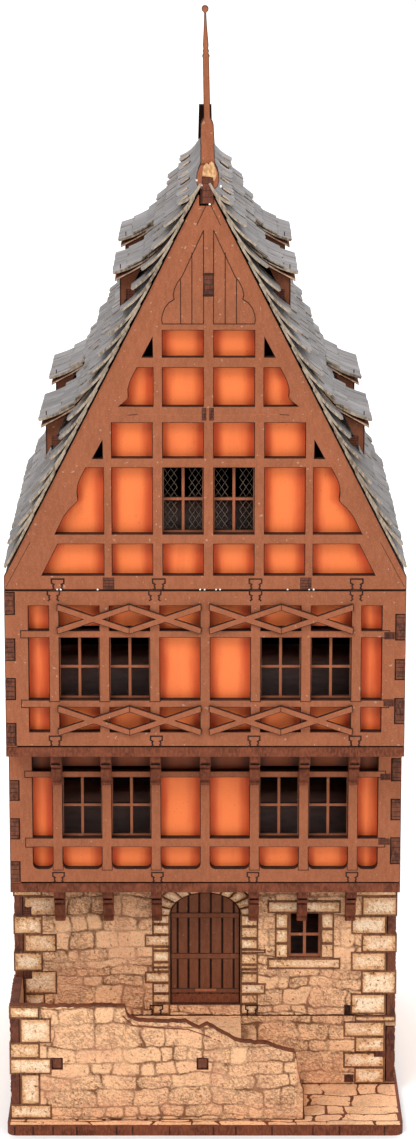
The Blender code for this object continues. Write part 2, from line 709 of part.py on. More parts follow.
def roof_module():
    """Gables, attic floors, ridge, two boarded slopes and eight dormers."""
    low = ROOF_Z
    cells = gable_cells()
    plate_low, plate_high = low + 1.0, low + 3.7
    tab_u = ATTIC_TAB_MIDDLE - ATTIC_TAB_HALF
    tab_v = ATTIC_TAB_MIDDLE + ATTIC_TAB_HALF
    tabs = [rect(sign * ATTIC_TAB_MIDDLE - ATTIC_TAB_HALF - FIT, plate_low - FIT,
                 sign * ATTIC_TAB_MIDDLE + ATTIC_TAB_HALF + FIT, plate_high + FIT)
            for sign in (-1, 1)]
    board("gable_front_frame", "xz", 0.0, BOARD, gable_outline(low), cells + tabs, WOOD)
    foot = plate_high + FIT
    head = low + GABLE_ROWS[-1][1] + 3.0
    infill = [(edge_x(foot) - INFILL_IN, foot), (edge_x(head) - INFILL_IN, head),
              (-edge_x(head) + INFILL_IN, head), (-edge_x(foot) + INFILL_IN, foot)]
    sill, lintel = low + GABLE_ROWS[GLAZED_ROW][0], low + GABLE_ROWS[GLAZED_ROW][1]
    glazed = []
    for u0 in (POST / 2, POST / 2 - BAY):
        glazed += panes(u0 + 0.2, sill + 0.2, u0 + BAY - POST - 0.2, lintel - 0.2)
    board("gable_front_infill", "xz", BOARD + FIT, LINER, infill, glazed, PLASTER)
    back = []
    for u0 in (POST / 2, POST / 2 - BAY):
        back += panes(u0, sill, u0 + BAY - POST, lintel)
    board("gable_back_wall", "xz", HOUSE_DEPTH - BOARD, BOARD, back_gable_outline(low), back, WOOD)
    half = HALF_WIDTH - BOARD - 2 * FIT
    near = BOARD + FIT
    far = HOUSE_DEPTH - BOARD - FIT
    tab = TAB_SUNK
    floor = [(-half, near), (-tab_v, near), (-tab_v, tab), (-tab_u, tab), (-tab_u, near),
             (tab_u, near), (tab_u, tab), (tab_v, tab), (tab_v, near), (half, near),
             (half, far), (-half, far)]
    board("attic_floor_plate", "xy", plate_low, plate_high - plate_low, floor, [], WOOD)
    ridge = [(tab, RIDGE_TOP - RIDGE_TAB), (near, RIDGE_TOP - RIDGE_TAB), (near, RIDGE_LOW),
             (far, RIDGE_LOW), (far, RIDGE_TOP), (tab, RIDGE_TOP)]
    board("ridge_board", "yz", -BOARD / 2, BOARD, ridge, [], BURNT)
    board("finial_front", "xz", 0.0, BOARD, finial_outline(FINIAL_TOP_Z), [], WOOD)
    for side, sign in (("left", -1), ("right", 1)):
        roof_slope("roof_slope_" + side, sign)
        for tier, level in enumerate(("upper", "lower")):
            for place, start in zip(("front", "back"), DORMER_FRONTS):
                label = "_%s_%s_%s" % (side, level, place)
                dormer_box("dormer_box" + label, sign, start, dormer_eave(tier))
                dormer_roof("dormer_roof" + label, sign, start, dormer_eave(tier))


def main():
    """Clear the scene and build every board of the house."""
    for obj in list(bpy.data.objects):
        bpy.data.objects.remove(obj, do_unlink=True)
    base_module()
    ground_module()
    storey("first", JETTY_FIRST, FIRST_Z, SECOND_Z - FIT, FIRST_ROWS, FIRST_ROWS[2:4],
           FIRST_FINGERS_LEFT, FIRST_FINGERS_RIGHT)
    corbel_rail("first_corbel_rail", JETTY_FIRST, CORBEL_BACK, SECOND_Z - FIT, CORBEL_DROP_FIRST,
                post_centres())
    second_module()
    roof_module()


main()
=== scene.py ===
import math

import bpy
import numpy as np
from bpy.props import FloatProperty, FloatVectorProperty, IntProperty, PointerProperty
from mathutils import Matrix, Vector
from mathutils.geometry import tessellate_polygon


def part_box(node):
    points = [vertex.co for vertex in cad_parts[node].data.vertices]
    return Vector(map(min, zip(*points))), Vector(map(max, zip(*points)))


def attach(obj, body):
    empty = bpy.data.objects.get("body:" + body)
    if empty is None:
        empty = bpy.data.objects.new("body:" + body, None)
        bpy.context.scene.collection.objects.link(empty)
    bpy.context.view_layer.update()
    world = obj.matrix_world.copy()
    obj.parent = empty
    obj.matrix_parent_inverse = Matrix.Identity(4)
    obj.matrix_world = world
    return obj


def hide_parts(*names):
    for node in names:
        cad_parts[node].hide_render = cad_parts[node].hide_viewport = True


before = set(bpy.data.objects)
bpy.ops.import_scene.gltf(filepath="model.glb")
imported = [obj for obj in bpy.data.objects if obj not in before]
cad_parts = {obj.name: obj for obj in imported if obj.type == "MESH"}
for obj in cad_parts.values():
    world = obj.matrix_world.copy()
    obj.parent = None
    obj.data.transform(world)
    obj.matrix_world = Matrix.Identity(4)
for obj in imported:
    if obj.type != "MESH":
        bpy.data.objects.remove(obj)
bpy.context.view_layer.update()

bl_info = {
    "name": "Half-timbered town house",
    "version": (1, 0, 0),
    "blender": (4, 5, 0),
    "location": "3D View > Sidebar > Town house",
    "description": "Finishes the boards of a half-timbered gaming house around its fixed frame",
    "category": "Object",
}

MM = 0.001
BOX = {name: (np.array(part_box(name)[0]) / MM, np.array(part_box(name)[1]) / MM)
       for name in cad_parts}

# --- levels of the frame, in millimetres ----------------------------------
HALF = BOX["second_front_frame"][1][0]
FRONT_2 = BOX["second_front_frame"][0][1]
FRONT_1 = BOX["first_front_frame"][0][1]
FRONT_0 = BOX["ground_front_wall"][0][1]
BACK = BOX["second_back_wall"][1][1]
BASE_TOP = BOX["base_plate"][1][2]
GROUND_Z = BOX["ground_front_wall"][0][2]
GROUND_TOP = BOX["ground_front_wall"][1][2]
FIRST_LOW = BOX["first_front_frame"][0][2]
FIRST_Z = BOX["first_floor_plate"][0][2]
FIRST_TOP = BOX["first_front_frame"][1][2]
SECOND_LOW = BOX["second_front_frame"][0][2]
SECOND_Z = BOX["second_floor_plate"][0][2]
SECOND_TOP = BOX["second_front_frame"][1][2]
ROOF_Z = BOX["gable_front_frame"][0][2]
APEX_Z = BOX["ridge_board"][1][2] - 0.8
PITCH_RUN = 0.5069
SLOPE = math.hypot(PITCH_RUN, 1.0)
EAVE_Z = APEX_Z - HALF / PITCH_RUN
BOARD = 3.0
FIT = 0.15
POST = 3.2
BAY = 15.5
GABLE_SHIFT = 1.0
LAP = 0.7            # how far a panel reaches behind the board round its opening
PANEL_BACK = 0.25    # gap between a board and the panels behind it
PANE_BACK = 0.35     # gap between a board and the window lights behind it
TENON_OUT = 0.12     # how far a tenon's end stands out
FINE, COARSE = 0.3, 0.42    # grid steps of the carved faces in front and elsewhere
RELIEF = 0.35        # depth of a carved face behind its level
SUNK = 0.45          # how far a stone board lies behind its carved face
HALF_PANE = 6.2      # half the width of a side window
WALL_EDGE = 7.4      # board left at each end of a side wall

FRONT = np.array([[1.0, 0, 0], [0, 0, 1], [0, 1, 0]])
REAR = np.array([[-1.0, 0, 0], [0, 0, 1], [0, -1, 0]])
RIGHT = np.array([[0, 1.0, 0], [0, 0, 1], [-1, 0, 0]])
LEFT = np.array([[0, -1.0, 0], [0, 0, 1], [1, 0, 0]])
FLAT = np.array([[1.0, 0, 0], [0, 1, 0], [0, 0, -1]])


# --- shapes ---------------------------------------------------------------
def ring_of(points, solid_inside=True):
    """Ring of corners as an array, anticlockwise round a solid and clockwise round a hole."""
    ring = np.array(points, float)
    after = np.roll(ring, -1, 0)
    area = np.sum(ring[:, 0] * after[:, 1] - after[:, 0] * ring[:, 1])
    return ring if (area > 0) == solid_inside else ring[::-1]


def drawn_in(ring, distance):
    """Each corner moved towards the left of the ring, along the sum of its two unit edge
    normals, by twice the distance over that sum's square: a mitred parallel ring."""
    a = ring - np.roll(ring, 1, 0)
    b = np.roll(ring, -1, 0) - ring
    a /= np.maximum(np.linalg.norm(a, axis=1, keepdims=True), 1e-9)
    b /= np.maximum(np.linalg.norm(b, axis=1, keepdims=True), 1e-9)
    total = np.stack([-a[:, 1] - b[:, 1], a[:, 0] + b[:, 0]], 1)
    square = np.maximum(np.sum(total * total, 1, keepdims=True), 0.7)
    return ring + total * (2.0 * distance / square)


class Shell:
    """Closed bodies gathered as arrays before they become one mesh."""

    def __init__(self):
        self.points, self.shade, self.faces, self.finish, self.count = [], [], [], [], 0

    def add(self, points, faces, finish, axes=None, origin=(0.0, 0.0, 0.0), shade=None):
        """Turn (u, v, w) into (x, y, z) by a sum of the three axes, and flip the faces when
        the axes are left-handed."""
        points = np.asarray(points, float)
        flip = False
        if axes is not None:
            points = points @ axes + np.asarray(origin, float)
            flip = np.linalg.det(axes) < 0
        self.points.append(points)
        self.shade.append(np.full(len(points), 0.5) if shade is None else np.asarray(shade, float))
        for face in faces:
            moved = [int(k) + self.count for k in face]
            self.faces.append(moved[::-1] if flip else moved)
        self.finish += list(finish)
        self.count += len(points)

    def piece(self, name, body, slot, finishes, replaces=()):
        """One mesh object that rides on a body and stands for its nodes."""
        mesh = bpy.data.meshes.new(name)
        mesh.from_pydata((np.concatenate(self.points) * MM).tolist(), [], self.faces)
        mesh.polygons.foreach_set("material_index", np.array(self.finish, np.int32))
        mesh.polygons.foreach_set("use_smooth", np.full(len(self.faces), False))
        layer = mesh.attributes.new("shade", "FLOAT", "POINT")
        layer.data.foreach_set("value", np.concatenate(self.shade).astype(np.float32))
        for finish in finishes:
            mesh.materials.append(MADE[finish])
        mesh.update()
        obj = bpy.data.objects.new(name, mesh)
        bpy.context.scene.collection.objects.link(obj)
        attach(obj, body)
        if replaces:
            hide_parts(*replaces)
        return obj


def cut_board(shell, rings, low, high, axes, origin=(0, 0, 0), rim=0.22, finish=(0, 1, 0)):
    """Flat board with holes: the outline is carried along the thickness through four rings, and
    the first and last are drawn in by the rim, so every cut edge has a narrow scorched bevel."""
    full = [ring_of(ring, k == 0) for k, ring in enumerate(rings)]
    small = [drawn_in(ring, rim) for ring in full]
    uv_full, uv_small = np.concatenate(full), np.concatenate(small)
    n = len(uv_full)
    levels = ((uv_small, low), (uv_full, low + rim), (uv_full, high - rim), (uv_small, high))
    points = np.concatenate([np.column_stack([uv, np.full(n, w)]) for uv, w in levels])
    caps = tessellate_polygon([[Vector((u, v, 0.0)) for u, v in ring] for ring in small])
    caps = np.array(caps)
    a, b, c = uv_small[caps[:, 0]], uv_small[caps[:, 1]], uv_small[caps[:, 2]]
    area = (b[:, 0] - a[:, 0]) * (c[:, 1] - a[:, 1]) - (c[:, 0] - a[:, 0]) * (b[:, 1] - a[:, 1])
    caps = np.where((area > 0)[:, None], caps, caps[:, ::-1])[np.abs(area) > 1e-9]
    faces = [face[::-1] for face in caps] + [face + 3 * n for face in caps]
    marks = [finish[0]] * len(caps) + [finish[2]] * len(caps)
    start = 0
    for ring in full:
        here = np.arange(start, start + len(ring))
        after = np.roll(here, -1)
        for level in range(3):
            lower, upper = level * n, level * n + n
            quads = np.stack([here + lower, after + lower, after + upper, here + upper], 1)
            faces += list(quads)
            marks += [finish[1]] * len(quads)
        start += len(ring)
    shell.add(points, faces, marks, axes, origin)


def score(shell, path, width, level, axes, origin=(0, 0, 0), proud=0.05, finish=1):
    """Thin dark line burnt along a path: the path is widened by half the width to both sides
    along mitred normals, and carried from just above the face to just under it."""
    path = np.array(path, float)
    before, after = np.roll(path, 1, 0), np.roll(path, -1, 0)
    a, b = path - before, after - path
    a[0], b[-1] = b[0], a[-1]
    a /= np.maximum(np.linalg.norm(a, axis=1, keepdims=True), 1e-9)
    b /= np.maximum(np.linalg.norm(b, axis=1, keepdims=True), 1e-9)
    side = np.stack([-a[:, 1] - b[:, 1], a[:, 0] + b[:, 0]], 1)
    side *= width / np.maximum(np.sum(side * side, 1, keepdims=True), 1.0)
    n = len(path)
    rows = [(path + side, level - proud), (path - side, level - proud),
            (path - side, level + 0.1), (path + side, level + 0.1)]
    points = np.concatenate([np.column_stack([uv, np.full(n, w)]) for uv, w in rows])
    here = np.arange(n - 1)
    then = here + 1
    faces = []
    for k in range(4):
        m = (k + 1) % 4
        faces += list(np.stack([here + k * n, here + m * n, then + m * n, then + k * n], 1))
    faces += [[0, 3 * n, 2 * n, n], [n - 1, 2 * n - 1, 3 * n - 1, 4 * n - 1]]
    faces = [list(face)[::-1] for face in faces]
    shell.add(points, faces, [finish] * len(faces), axes, origin)


def rect(u0, v0, u1, v1):
    """Corners of a rectangle."""
    return [(u0, v0), (u1, v0), (u1, v1), (u0, v1)]


def soft_rect(u0, v0, u1, v1, radius, steps=4, lower_only=False):
    """Rectangle whose corners are quarter circles."""
    ring = []
    for k, (cu, cv) in enumerate(((u1 - radius, v1 - radius), (u0 + radius, v1 - radius),
                                  (u0 + radius, v0 + radius), (u1 - radius, v0 + radius))):
        if lower_only and k < 2:
            ring.append((u1, v1) if k == 0 else (u0, v1))
            continue
        turn = math.pi / 2 * (k + np.linspace(0, 1, steps + 1))
        ring += list(zip(cu + radius * np.cos(turn), cv + radius * np.sin(turn)))
    return ring


def comb(fixed, step, low, high, fingers):
    """Upright edge from low to high that steps sideways inside each finger range."""
    points = [(fixed, low)]
    for start, end in fingers:
        if start <= low:
            points = [(fixed + step, low)]
        else:
            points += [(fixed, start), (fixed + step, start)]
        if end >= high:
            return points + [(fixed + step, high)]
        points += [(fixed + step, end), (fixed, end)]
    return points + [(fixed, high)]


def slab(shell, top, drop, finish=0, back=1, shade=None, axes=None, origin=(0, 0, 0)):
    """Closed solid over a grid of points: the grid is the outer face, a second grid of its rim
    lies deeper by the drop, and one many-cornered face closes the back."""
    rows, cols = top.shape[:2]
    index = np.arange(rows * cols).reshape(rows, cols)
    quads = np.stack([index[:-1, :-1], index[:-1, 1:], index[1:, 1:], index[1:, :-1]], -1)
    loop = np.concatenate([index[0, :-1], index[:-1, -1], index[-1, :0:-1], index[:0:-1, 0]])
    flat = top.reshape(-1, 3)
    under = flat[loop].copy()
    under[:, 2] = drop
    deep = rows * cols + np.arange(len(loop))
    after, deep_after = np.roll(loop, -1), np.roll(deep, -1)
    sides = np.stack([after, loop, deep, deep_after], 1)
    faces = list(quads.reshape(-1, 4)) + list(sides) + [deep[::-1]]
    marks = [finish] * (quads.shape[0] * quads.shape[1]) + [back] * (len(sides) + 1)
    if shade is not None:
        shade = np.concatenate([shade.ravel(), shade.ravel()[loop]])
    shell.add(np.concatenate([flat, under]), faces, marks, axes, origin, shade)


def smooth(low, high, value):
    """Smooth step: 0 below low, 1 above high and 3t2 - 2t3 between."""
    t = np.clip((value - low) / (high - low), 0.0, 1.0)
    return t * t * (3.0 - 2.0 * t)


def wobble(u, v, size, seed):
    """Smooth noise from -1 to 1: random heights on a square lattice joined by smooth steps."""
    table = np.random.default_rng(seed).uniform(-1.0, 1.0, (61, 61))
    a, b = u / size, v / size
    i, j = np.floor(a).astype(int), np.floor(b).astype(int)
    s, t = a - i, b - j
    s, t = s * s * (3 - 2 * s), t * t * (3 - 2 * t)
    low = table[i % 61, j % 61] * (1 - s) + table[(i + 1) % 61, j % 61] * s
    high = table[i % 61, (j + 1) % 61] * (1 - s) + table[(i + 1) % 61, (j + 1) % 61] * s
    return low * (1 - t) + high * t


def masonry(u, v, seed, course=5.0, length=8.5, rough=1.0, carving=1.0):
    """Height and shade of rough coursed stone. Rows of random heights are cut into stones of
    random lengths after both directions are bent by noise; the height falls in a groove where
    the distance to the nearest joint is small, and chisel marks follow the zeros of a noise."""
    rng = np.random.default_rng(seed)
    wu = u + rough * (1.5 * wobble(u, v, 8.0, seed + 1) + 0.5 * wobble(u, v, 2.3, seed + 2)) + 300.0
    wv = v + rough * (1.3 * wobble(u, v, 9.0, seed + 3) + 0.4 * wobble(u, v, 2.1, seed + 4)) + 300.0
    edges = np.concatenate([[0.0], np.cumsum(rng.uniform(0.55, 1.45, 220) * course)])
    row = np.clip(np.searchsorted(edges, wv) - 1, 0, 218)
    dv = np.minimum(wv - edges[row], edges[row + 1] - wv)
    joints = np.cumsum(rng.uniform(0.4, 1.7, (220, 140)) * length, axis=1)
    tones = rng.uniform(0.0, 1.0, (220, 141))
    du, tone = np.zeros_like(u), np.zeros_like(u)
    for r in np.unique(row):
        here = row == r
        column = np.clip(np.searchsorted(joints[r], wu[here]), 1, 139)
        du[here] = np.minimum(wu[here] - joints[r][column - 1], joints[r][column] - wu[here])
        tone[here] = tones[r][column]
    gap = np.minimum(du, dv)
    gap = gap - 0.35 * np.exp(-(du - dv) ** 2) * np.exp(-gap)
    groove = (1.0 - smooth(0.05, 0.5, gap)) * (0.55 + 0.45 * smooth(-0.5, 0.3, wobble(u, v, 5.0, seed + 9)))
    rough_tone = smooth(0.1, 0.5, tone)
    coarse = np.abs(wobble(u + 0.5 * v, v * 1.5, 1.5, seed + 5) + 0.5 * wobble(u, v, 0.8, seed + 6))
    fine = np.abs(wobble(u - 0.4 * v, v * 1.4, 0.9, seed + 10) + 0.4 * wobble(u, v, 0.5, seed + 11))
    marks = np.maximum(1.0 - smooth(0.04, 0.3, coarse), 0.8 * (1.0 - smooth(0.03, 0.26, fine)))
    marks *= carving * (0.4 + 0.6 * rough_tone) * (1.0 - groove)
    pits = smooth(0.6, 0.8, wobble(u, v, 0.5, seed + 7)) * (1.0 - groove)
    height = 0.3 * (1.0 - groove) + 0.14 * tone - 0.24 * marks - 0.1 * pits
    shade = np.clip(0.84 + 0.3 * (1.0 - tone) - (0.3 + 0.6 * carving) * groove - 0.5 * marks - 0.25 * pits
                    + 0.16 * wobble(u, v, 3.4, seed + 8), 0.0, 1.0)
    return height, shade


def stone_face(shell, u0, u1, low, high, step, level, axes, origin=(0, 0, 0), seed=3, depth=0.5,
               **kind):
    """Stone relief between two curves: u runs evenly from u0 to u1, v runs from low(u) to
    high(u), and the masonry height stands out of the level."""
    nu = max(3, int((u1 - u0) / step) + 1)
    us = np.linspace(u0, u1, nu)
    lows = low(us) if callable(low) else np.full(nu, float(low))
    highs = high(us) if callable(high) else np.full(nu, float(high))
    nv = max(3, int(np.max(highs - lows) / step) + 1)
    t = np.linspace(0, 1, nv)
    u = np.repeat(us[:, None], nv, 1)
    v = lows[:, None] + (highs - lows)[:, None] * t[None, :]
    height, shade = masonry(u, v, seed, **kind)
    top = np.stack([u, v, level - height], -1)
    slab(shell, top, level + depth, 0, 1, shade, axes, origin)


def ashlar(shell, u0, v0, u1, v1, level, axes, origin=(0, 0, 0), seed=1, high=0.55, corners=None):
    """One dressed stone: a grid over the rectangle, or over four given corners, whose height
    rises from the edge by a smooth step and carries fine noise, over a dark bed."""
    nu, nv = max(5, int((u1 - u0) / 0.4)), max(5, int((v1 - v0) / 0.4))
    s, t = np.meshgrid(np.linspace(0, 1, nu), np.linspace(0, 1, nv), indexing="ij")
    if corners is None:
        u, v = u0 + (u1 - u0) * s, v0 + (v1 - v0) * t
    else:
        c = np.array(corners, float)
        uv = (c[0] * ((1 - s) * (1 - t))[..., None] + c[1] * (s * (1 - t))[..., None]
              + c[2] * (s * t)[..., None] + c[3] * ((1 - s) * t)[..., None])
        u, v = uv[..., 0], uv[..., 1]
    if corners is None:
        cut_board(shell, [rect(u0 - 0.2, v0 - 0.2, u1 + 0.2, v1 + 0.2)], level - 0.45, level + 0.3, axes,
                  origin, 0.05,
                  (1, 1, 1))
    edge = np.minimum(np.minimum(s, 1 - s) * (u1 - u0), np.minimum(t, 1 - t) * (v1 - v0))
    lift = smooth(0.0, 0.45, edge)
    pits = smooth(0.55, 0.75, wobble(u, v, 0.6, seed + 40))
    tone = np.random.default_rng(seed).uniform(0.75, 1.0)
    height = high * lift + 0.05 * wobble(u, v, 1.5, seed) - 0.09 * pits * lift
    warm = smooth(0.1, 2.2, edge + 0.5 * wobble(u, v, 2.6, seed + 3))
    scratch = 1.0 - smooth(0.02, 0.2, np.abs(wobble(u + 0.6 * v, v, 1.1, seed + 12)))
    scratch *= smooth(0.0, 0.5, wobble(u, v, 2.2, seed + 13)) * lift
    shade = np.clip(lift * (0.5 + 0.5 * warm) * tone - 0.35 * pits * lift - 0.35 * scratch
                    + 0.05 * wobble(u, v, 2.0, seed + 9), 0, 1)
    slab(shell, np.stack([u, v, level - height], -1), level + 0.4, 0, 1, shade, axes, origin)


# --- finishes -------------------------------------------------------------
MADE = {}


class Nodes:
    """Short way to lay out a procedural material."""

    def __init__(self, name, roughness=0.7, specular=0.35):
        self.material = bpy.data.materials.new(name)
        self.material.use_nodes = True
        self.tree = self.material.node_tree
        self.shader = self.tree.nodes["Principled BSDF"]
        self.shader.inputs["Roughness"].default_value = roughness
        self.shader.inputs["Specular IOR Level"].default_value = specular
        self.place = self.tree.nodes.new("ShaderNodeTexCoord").outputs["Object"]
        MADE[name] = self.material

    def link(self, source, target):
        """Join a socket, or set a plain value."""
        if isinstance(source, bpy.types.NodeSocket):
            self.tree.links.new(source, target)
        else:
            target.default_value = source

    def noise(self, scale, detail=2.0, stretch=(1, 1, 1), roughness=0.5):
        """Fractal noise on object coordinates."""
        turn = self.tree.nodes.new("ShaderNodeMapping")
        turn.inputs["Scale"].default_value = stretch
        self.link(self.place, turn.inputs["Vector"])
        node = self.tree.nodes.new("ShaderNodeTexNoise")
        node.inputs["Scale"].default_value = scale
        node.inputs["Detail"].default_value = detail
        node.inputs["Roughness"].default_value = roughness
        self.link(turn.outputs[0], node.inputs["Vector"])
        return node.outputs["Fac"]

    def span(self, value, low, high, out_low=0.0, out_high=1.0):
        """Smooth map from one range to another."""
        node = self.tree.nodes.new("ShaderNodeMapRange")
        node.interpolation_type = "SMOOTHSTEP"
        for key, number in (("From Min", low), ("From Max", high), ("To Min", out_low), ("To Max", out_high)):
            node.inputs[key].default_value = number
        self.link(value, node.inputs["Value"])
        return node.outputs["Result"]

    def math(self, operation, a, b):
        """One arithmetic step."""
        node = self.tree.nodes.new("ShaderNodeMath")
        node.operation = operation
        self.link(a, node.inputs[0])
        self.link(b, node.inputs[1])
        return node.outputs[0]

    def mix(self, amount, a, b):
        """Blend of two colours."""
        node = self.tree.nodes.new("ShaderNodeMix")
        node.data_type = "RGBA"
        self.link(amount, node.inputs[0])
        self.link(a if isinstance(a, bpy.types.NodeSocket) else (*a, 1.0), node.inputs[6])
        self.link(b if isinstance(b, bpy.types.NodeSocket) else (*b, 1.0), node.inputs[7])
        return node.outputs[2]

    def shade(self):
        """The shade attribute that the shape itself carries: painted shade on the panels, colour tone on
        stone and slates.
        """
        node = self.tree.nodes.new("ShaderNodeAttribute")
        node.attribute_name = "shade"
        return node.outputs["Fac"]

    def finish(self, color, rough, bump, strength=0.4, distance=0.0002):
        """Join colour, roughness and bump to the shader."""
        self.link(color, self.shader.inputs["Base Color"])
        self.link(rough, self.shader.inputs["Roughness"])
        node = self.tree.nodes.new("ShaderNodeBump")
        node.inputs["Strength"].default_value = strength
        node.inputs["Distance"].default_value = distance
        self.link(bump, node.inputs["Height"])
        self.link(node.outputs[0], self.shader.inputs["Normal"])
        return self.material


def fibre_board(name, color, dark, rough=(0.62, 0.85), pale=0.25):
    """Dense fibre board: mottling, long faint fibres, fine speckle and a few pale specks."""
    n = Nodes(name, 0.7, 0.2 if pale else 0.0)
    mottle = n.span(n.noise(55.0, 4.0), 0.35, 0.68)
    fibre = n.noise(900.0, 2.0, (1.0, 1.0, 0.35))
    speck = n.noise(2600.0, 1.0)
    base = n.mix(n.span(mottle, 0.0, 1.0, 0.0, 0.3), color, dark)
    base = n.mix(n.span(fibre, 0.38, 0.62, 0.0, 0.32), base, dark)
    base = n.mix(n.span(speck, 0.5, 0.7, 0.0, 0.4), base, tuple(min(1.0, c * 1.35) for c in color))
    dust = n.span(n.noise(1100.0, 0.0), 0.8, 0.83, 0.0, pale)
    base = n.mix(dust, base, (0.75, 0.62, 0.5))
    return n.finish(base, n.span(fibre, 0.3, 0.7, *rough), n.math("ADD", fibre, speck), 0.35, 0.00012)


def scorched(name, color, dark):
    """Edge left by the cutting beam: near-black brown in thin upright stripes, nearly dull."""
    n = Nodes(name, 0.5, 0.15)
    stripe = n.noise(1500.0, 1.0, (1.0, 1.0, 0.4))
    cloud = n.noise(160.0, 3.0)
    base = n.mix(n.span(cloud, 0.35, 0.65), color, dark)
    base = n.mix(n.span(stripe, 0.4, 0.65, 0.0, 0.5), base, tuple(c * 1.7 for c in color))
    return n.finish(base, n.span(stripe, 0.3, 0.7, 0.6, 0.85), stripe, 0.3, 0.0001)


def painted(name, light, deep):
    """Brushed paint: the shade attribute darkens it towards the edges of a panel, a painted shade of the
    recess behind the frame, with fine brush streaks.
    """
    n = Nodes(name, 0.6)
    streak = n.noise(420.0, 3.0, (1.0, 1.0, 0.12))
    cloud = n.noise(70.0, 2.0)
    grain = n.noise(2200.0, 1.0)
    amount = n.math("ADD", n.shade(), n.span(streak, 0.3, 0.7, -0.12, 0.12))
    amount = n.math("ADD", amount, n.span(cloud, 0.3, 0.7, -0.12, 0.1))
    base = n.mix(n.span(amount, 0.0, 1.0), deep, light)
    base = n.mix(n.span(grain, 0.7, 0.76, 0.0, 0.5), base, (0.42, 0.08, 0.02))
    return n.finish(base, n.span(streak, 0.3, 0.7, 0.5, 0.68), n.math("ADD", streak, grain), 0.2, 0.0001)


def carved_stone(name, joint, body, light, pink, carved=True):
    """Engraved stone: the shade of the shape, or a cloudy noise on plain boards, runs from burnt
    joints through tan to cream, with rosy patches, tiny dark pits and chalky grain."""
    n = Nodes(name, 0.85, 0.2)
    cloud = n.noise(90.0, 4.0)
    grain = n.noise(1700.0, 2.0)
    pit = n.noise(850.0, 1.0)
    scratch = n.math("ABSOLUTE", n.math("SUBTRACT", n.noise(620.0, 2.0, (1.0, 1.0, 1.4)), 0.5), 0.0)
    tone = n.shade() if carved else n.span(n.noise(260.0, 3.0), 0.3, 0.6, 0.3, 0.95)
    shade = n.math("ADD", tone, n.span(grain, 0.25, 0.75, -0.17, 0.17))
    base = n.mix(n.span(shade, 0.05, 0.5), joint, body)
    base = n.mix(n.span(shade, 0.5, 0.98), base, light)
    base = n.mix(n.span(cloud, 0.42, 0.7, 0.0, 0.5), base, pink)
    base = n.mix(n.span(scratch, 0.004, 0.026, 0.42, 0.0), base, joint)
    base = n.mix(n.span(pit, 0.66, 0.74, 0.0, 0.75), base, joint)
    return n.finish(base, n.span(grain, 0.3, 0.7, 0.75, 0.95), n.math("ADD", grain, pit), 0.5, 0.00015)


def grey_board(name, color, pale, dark):
    """Grey painted board of the roof: dry streaks down the slope, chalky grain and worn patches."""
    n = Nodes(name, 0.8, 0.25)
    streak = n.noise(240.0, 3.0, (0.5, 1.0, 0.5))
    cloud = n.noise(45.0, 4.0)
    grain = n.noise(2100.0, 1.0)
    base = n.mix(n.span(cloud, 0.35, 0.68), color, pale)
    base = n.mix(n.span(streak, 0.4, 0.66, 0.0, 0.45), base, dark)
    base = n.mix(n.span(n.shade(), 0.0, 1.0, 0.28, 0.0), base, dark)
    base = n.mix(n.span(grain, 0.55, 0.72, 0.0, 0.35), base, pale)
    return n.finish(base, n.span(grain, 0.3, 0.7, 0.7, 0.92), n.math("ADD", grain, streak), 0.4, 0.00015)


def scaled(color, amount):
    """Colour times a number."""
    return tuple(min(1.0, c * amount) for c in color)


def make_finishes(colors):
    """All finishes of the house, from the colours of the settings."""
    board, paint, stone, slate = (tuple(c) for c in (colors.board, colors.paint, colors.stone, colors.slate))
    fibre_board("timber", board, scaled(board, 0.68))
    fibre_board("timber_dark", scaled(board, 0.62), scaled(board, 0.38), pale=0.2)
    fibre_board("timber_pale", scaled(board, 1.18), scaled(board, 0.8))
    fibre_board("plank", scaled(board, 0.54), scaled(board, 0.32), pale=0.1)
    # Near-black inner faces of the walls and backs of the panels: painted shade of the dark rooms inside the
    # house.
    fibre_board("inner_painted_shade", (0.014, 0.006, 0.004), (0.008, 0.004, 0.003), pale=0.0)
    scorched("burnt", (0.05, 0.018, 0.011), (0.018, 0.008, 0.006))
    scorched("burnt_end", (0.13, 0.042, 0.024), (0.06, 0.02, 0.014))
    scorched("end_face", (0.15, 0.05, 0.027), (0.07, 0.024, 0.015))
    scorched("plate_edge", (0.175, 0.05, 0.024), (0.1, 0.028, 0.014))
    scorched("slate_side", (0.34, 0.27, 0.20), (0.17, 0.125, 0.09))
    scorched("slate_under", (0.05, 0.03, 0.022), (0.025, 0.016, 0.012))
    scorched("mortar", (0.2, 0.085, 0.04), (0.1, 0.04, 0.02))
    scorched("glue", (0.9, 0.86, 0.8), (0.7, 0.62, 0.52))
    scorched("tan_edge", (0.42, 0.30, 0.20), (0.24, 0.16, 0.105))
    scorched("chip", (0.66, 0.40, 0.20), (0.48, 0.25, 0.11))
    scorched("lead", (0.17, 0.12, 0.085), (0.08, 0.055, 0.04))
    # the second colour is the painted shade towards the edges of each panel
    painted("orange", paint, (paint[0] * 0.72, paint[1] * 0.36, paint[2] * 0.22))
    # Dark orange for the panels under the overhang: a painted shadow of the storey above.
    painted("orange_painted_shadow", scaled(paint, 0.33), scaled(paint, 0.12))
    joint, rosy = (0.21, 0.085, 0.038), (0.76, 0.38, 0.22)
    carved_stone("stone", joint, scaled(stone, 0.6), stone, rosy)
    carved_stone("stone_plain", joint, scaled(stone, 0.6), stone, rosy, False)
    carved_stone("ashlar", (0.15, 0.055, 0.025), (0.74, 0.40, 0.19), (1.0, 0.78, 0.54), (0.92, 0.58, 0.38))
    grey_board("slate", slate, scaled(slate, 1.5), scaled(slate, 0.5))


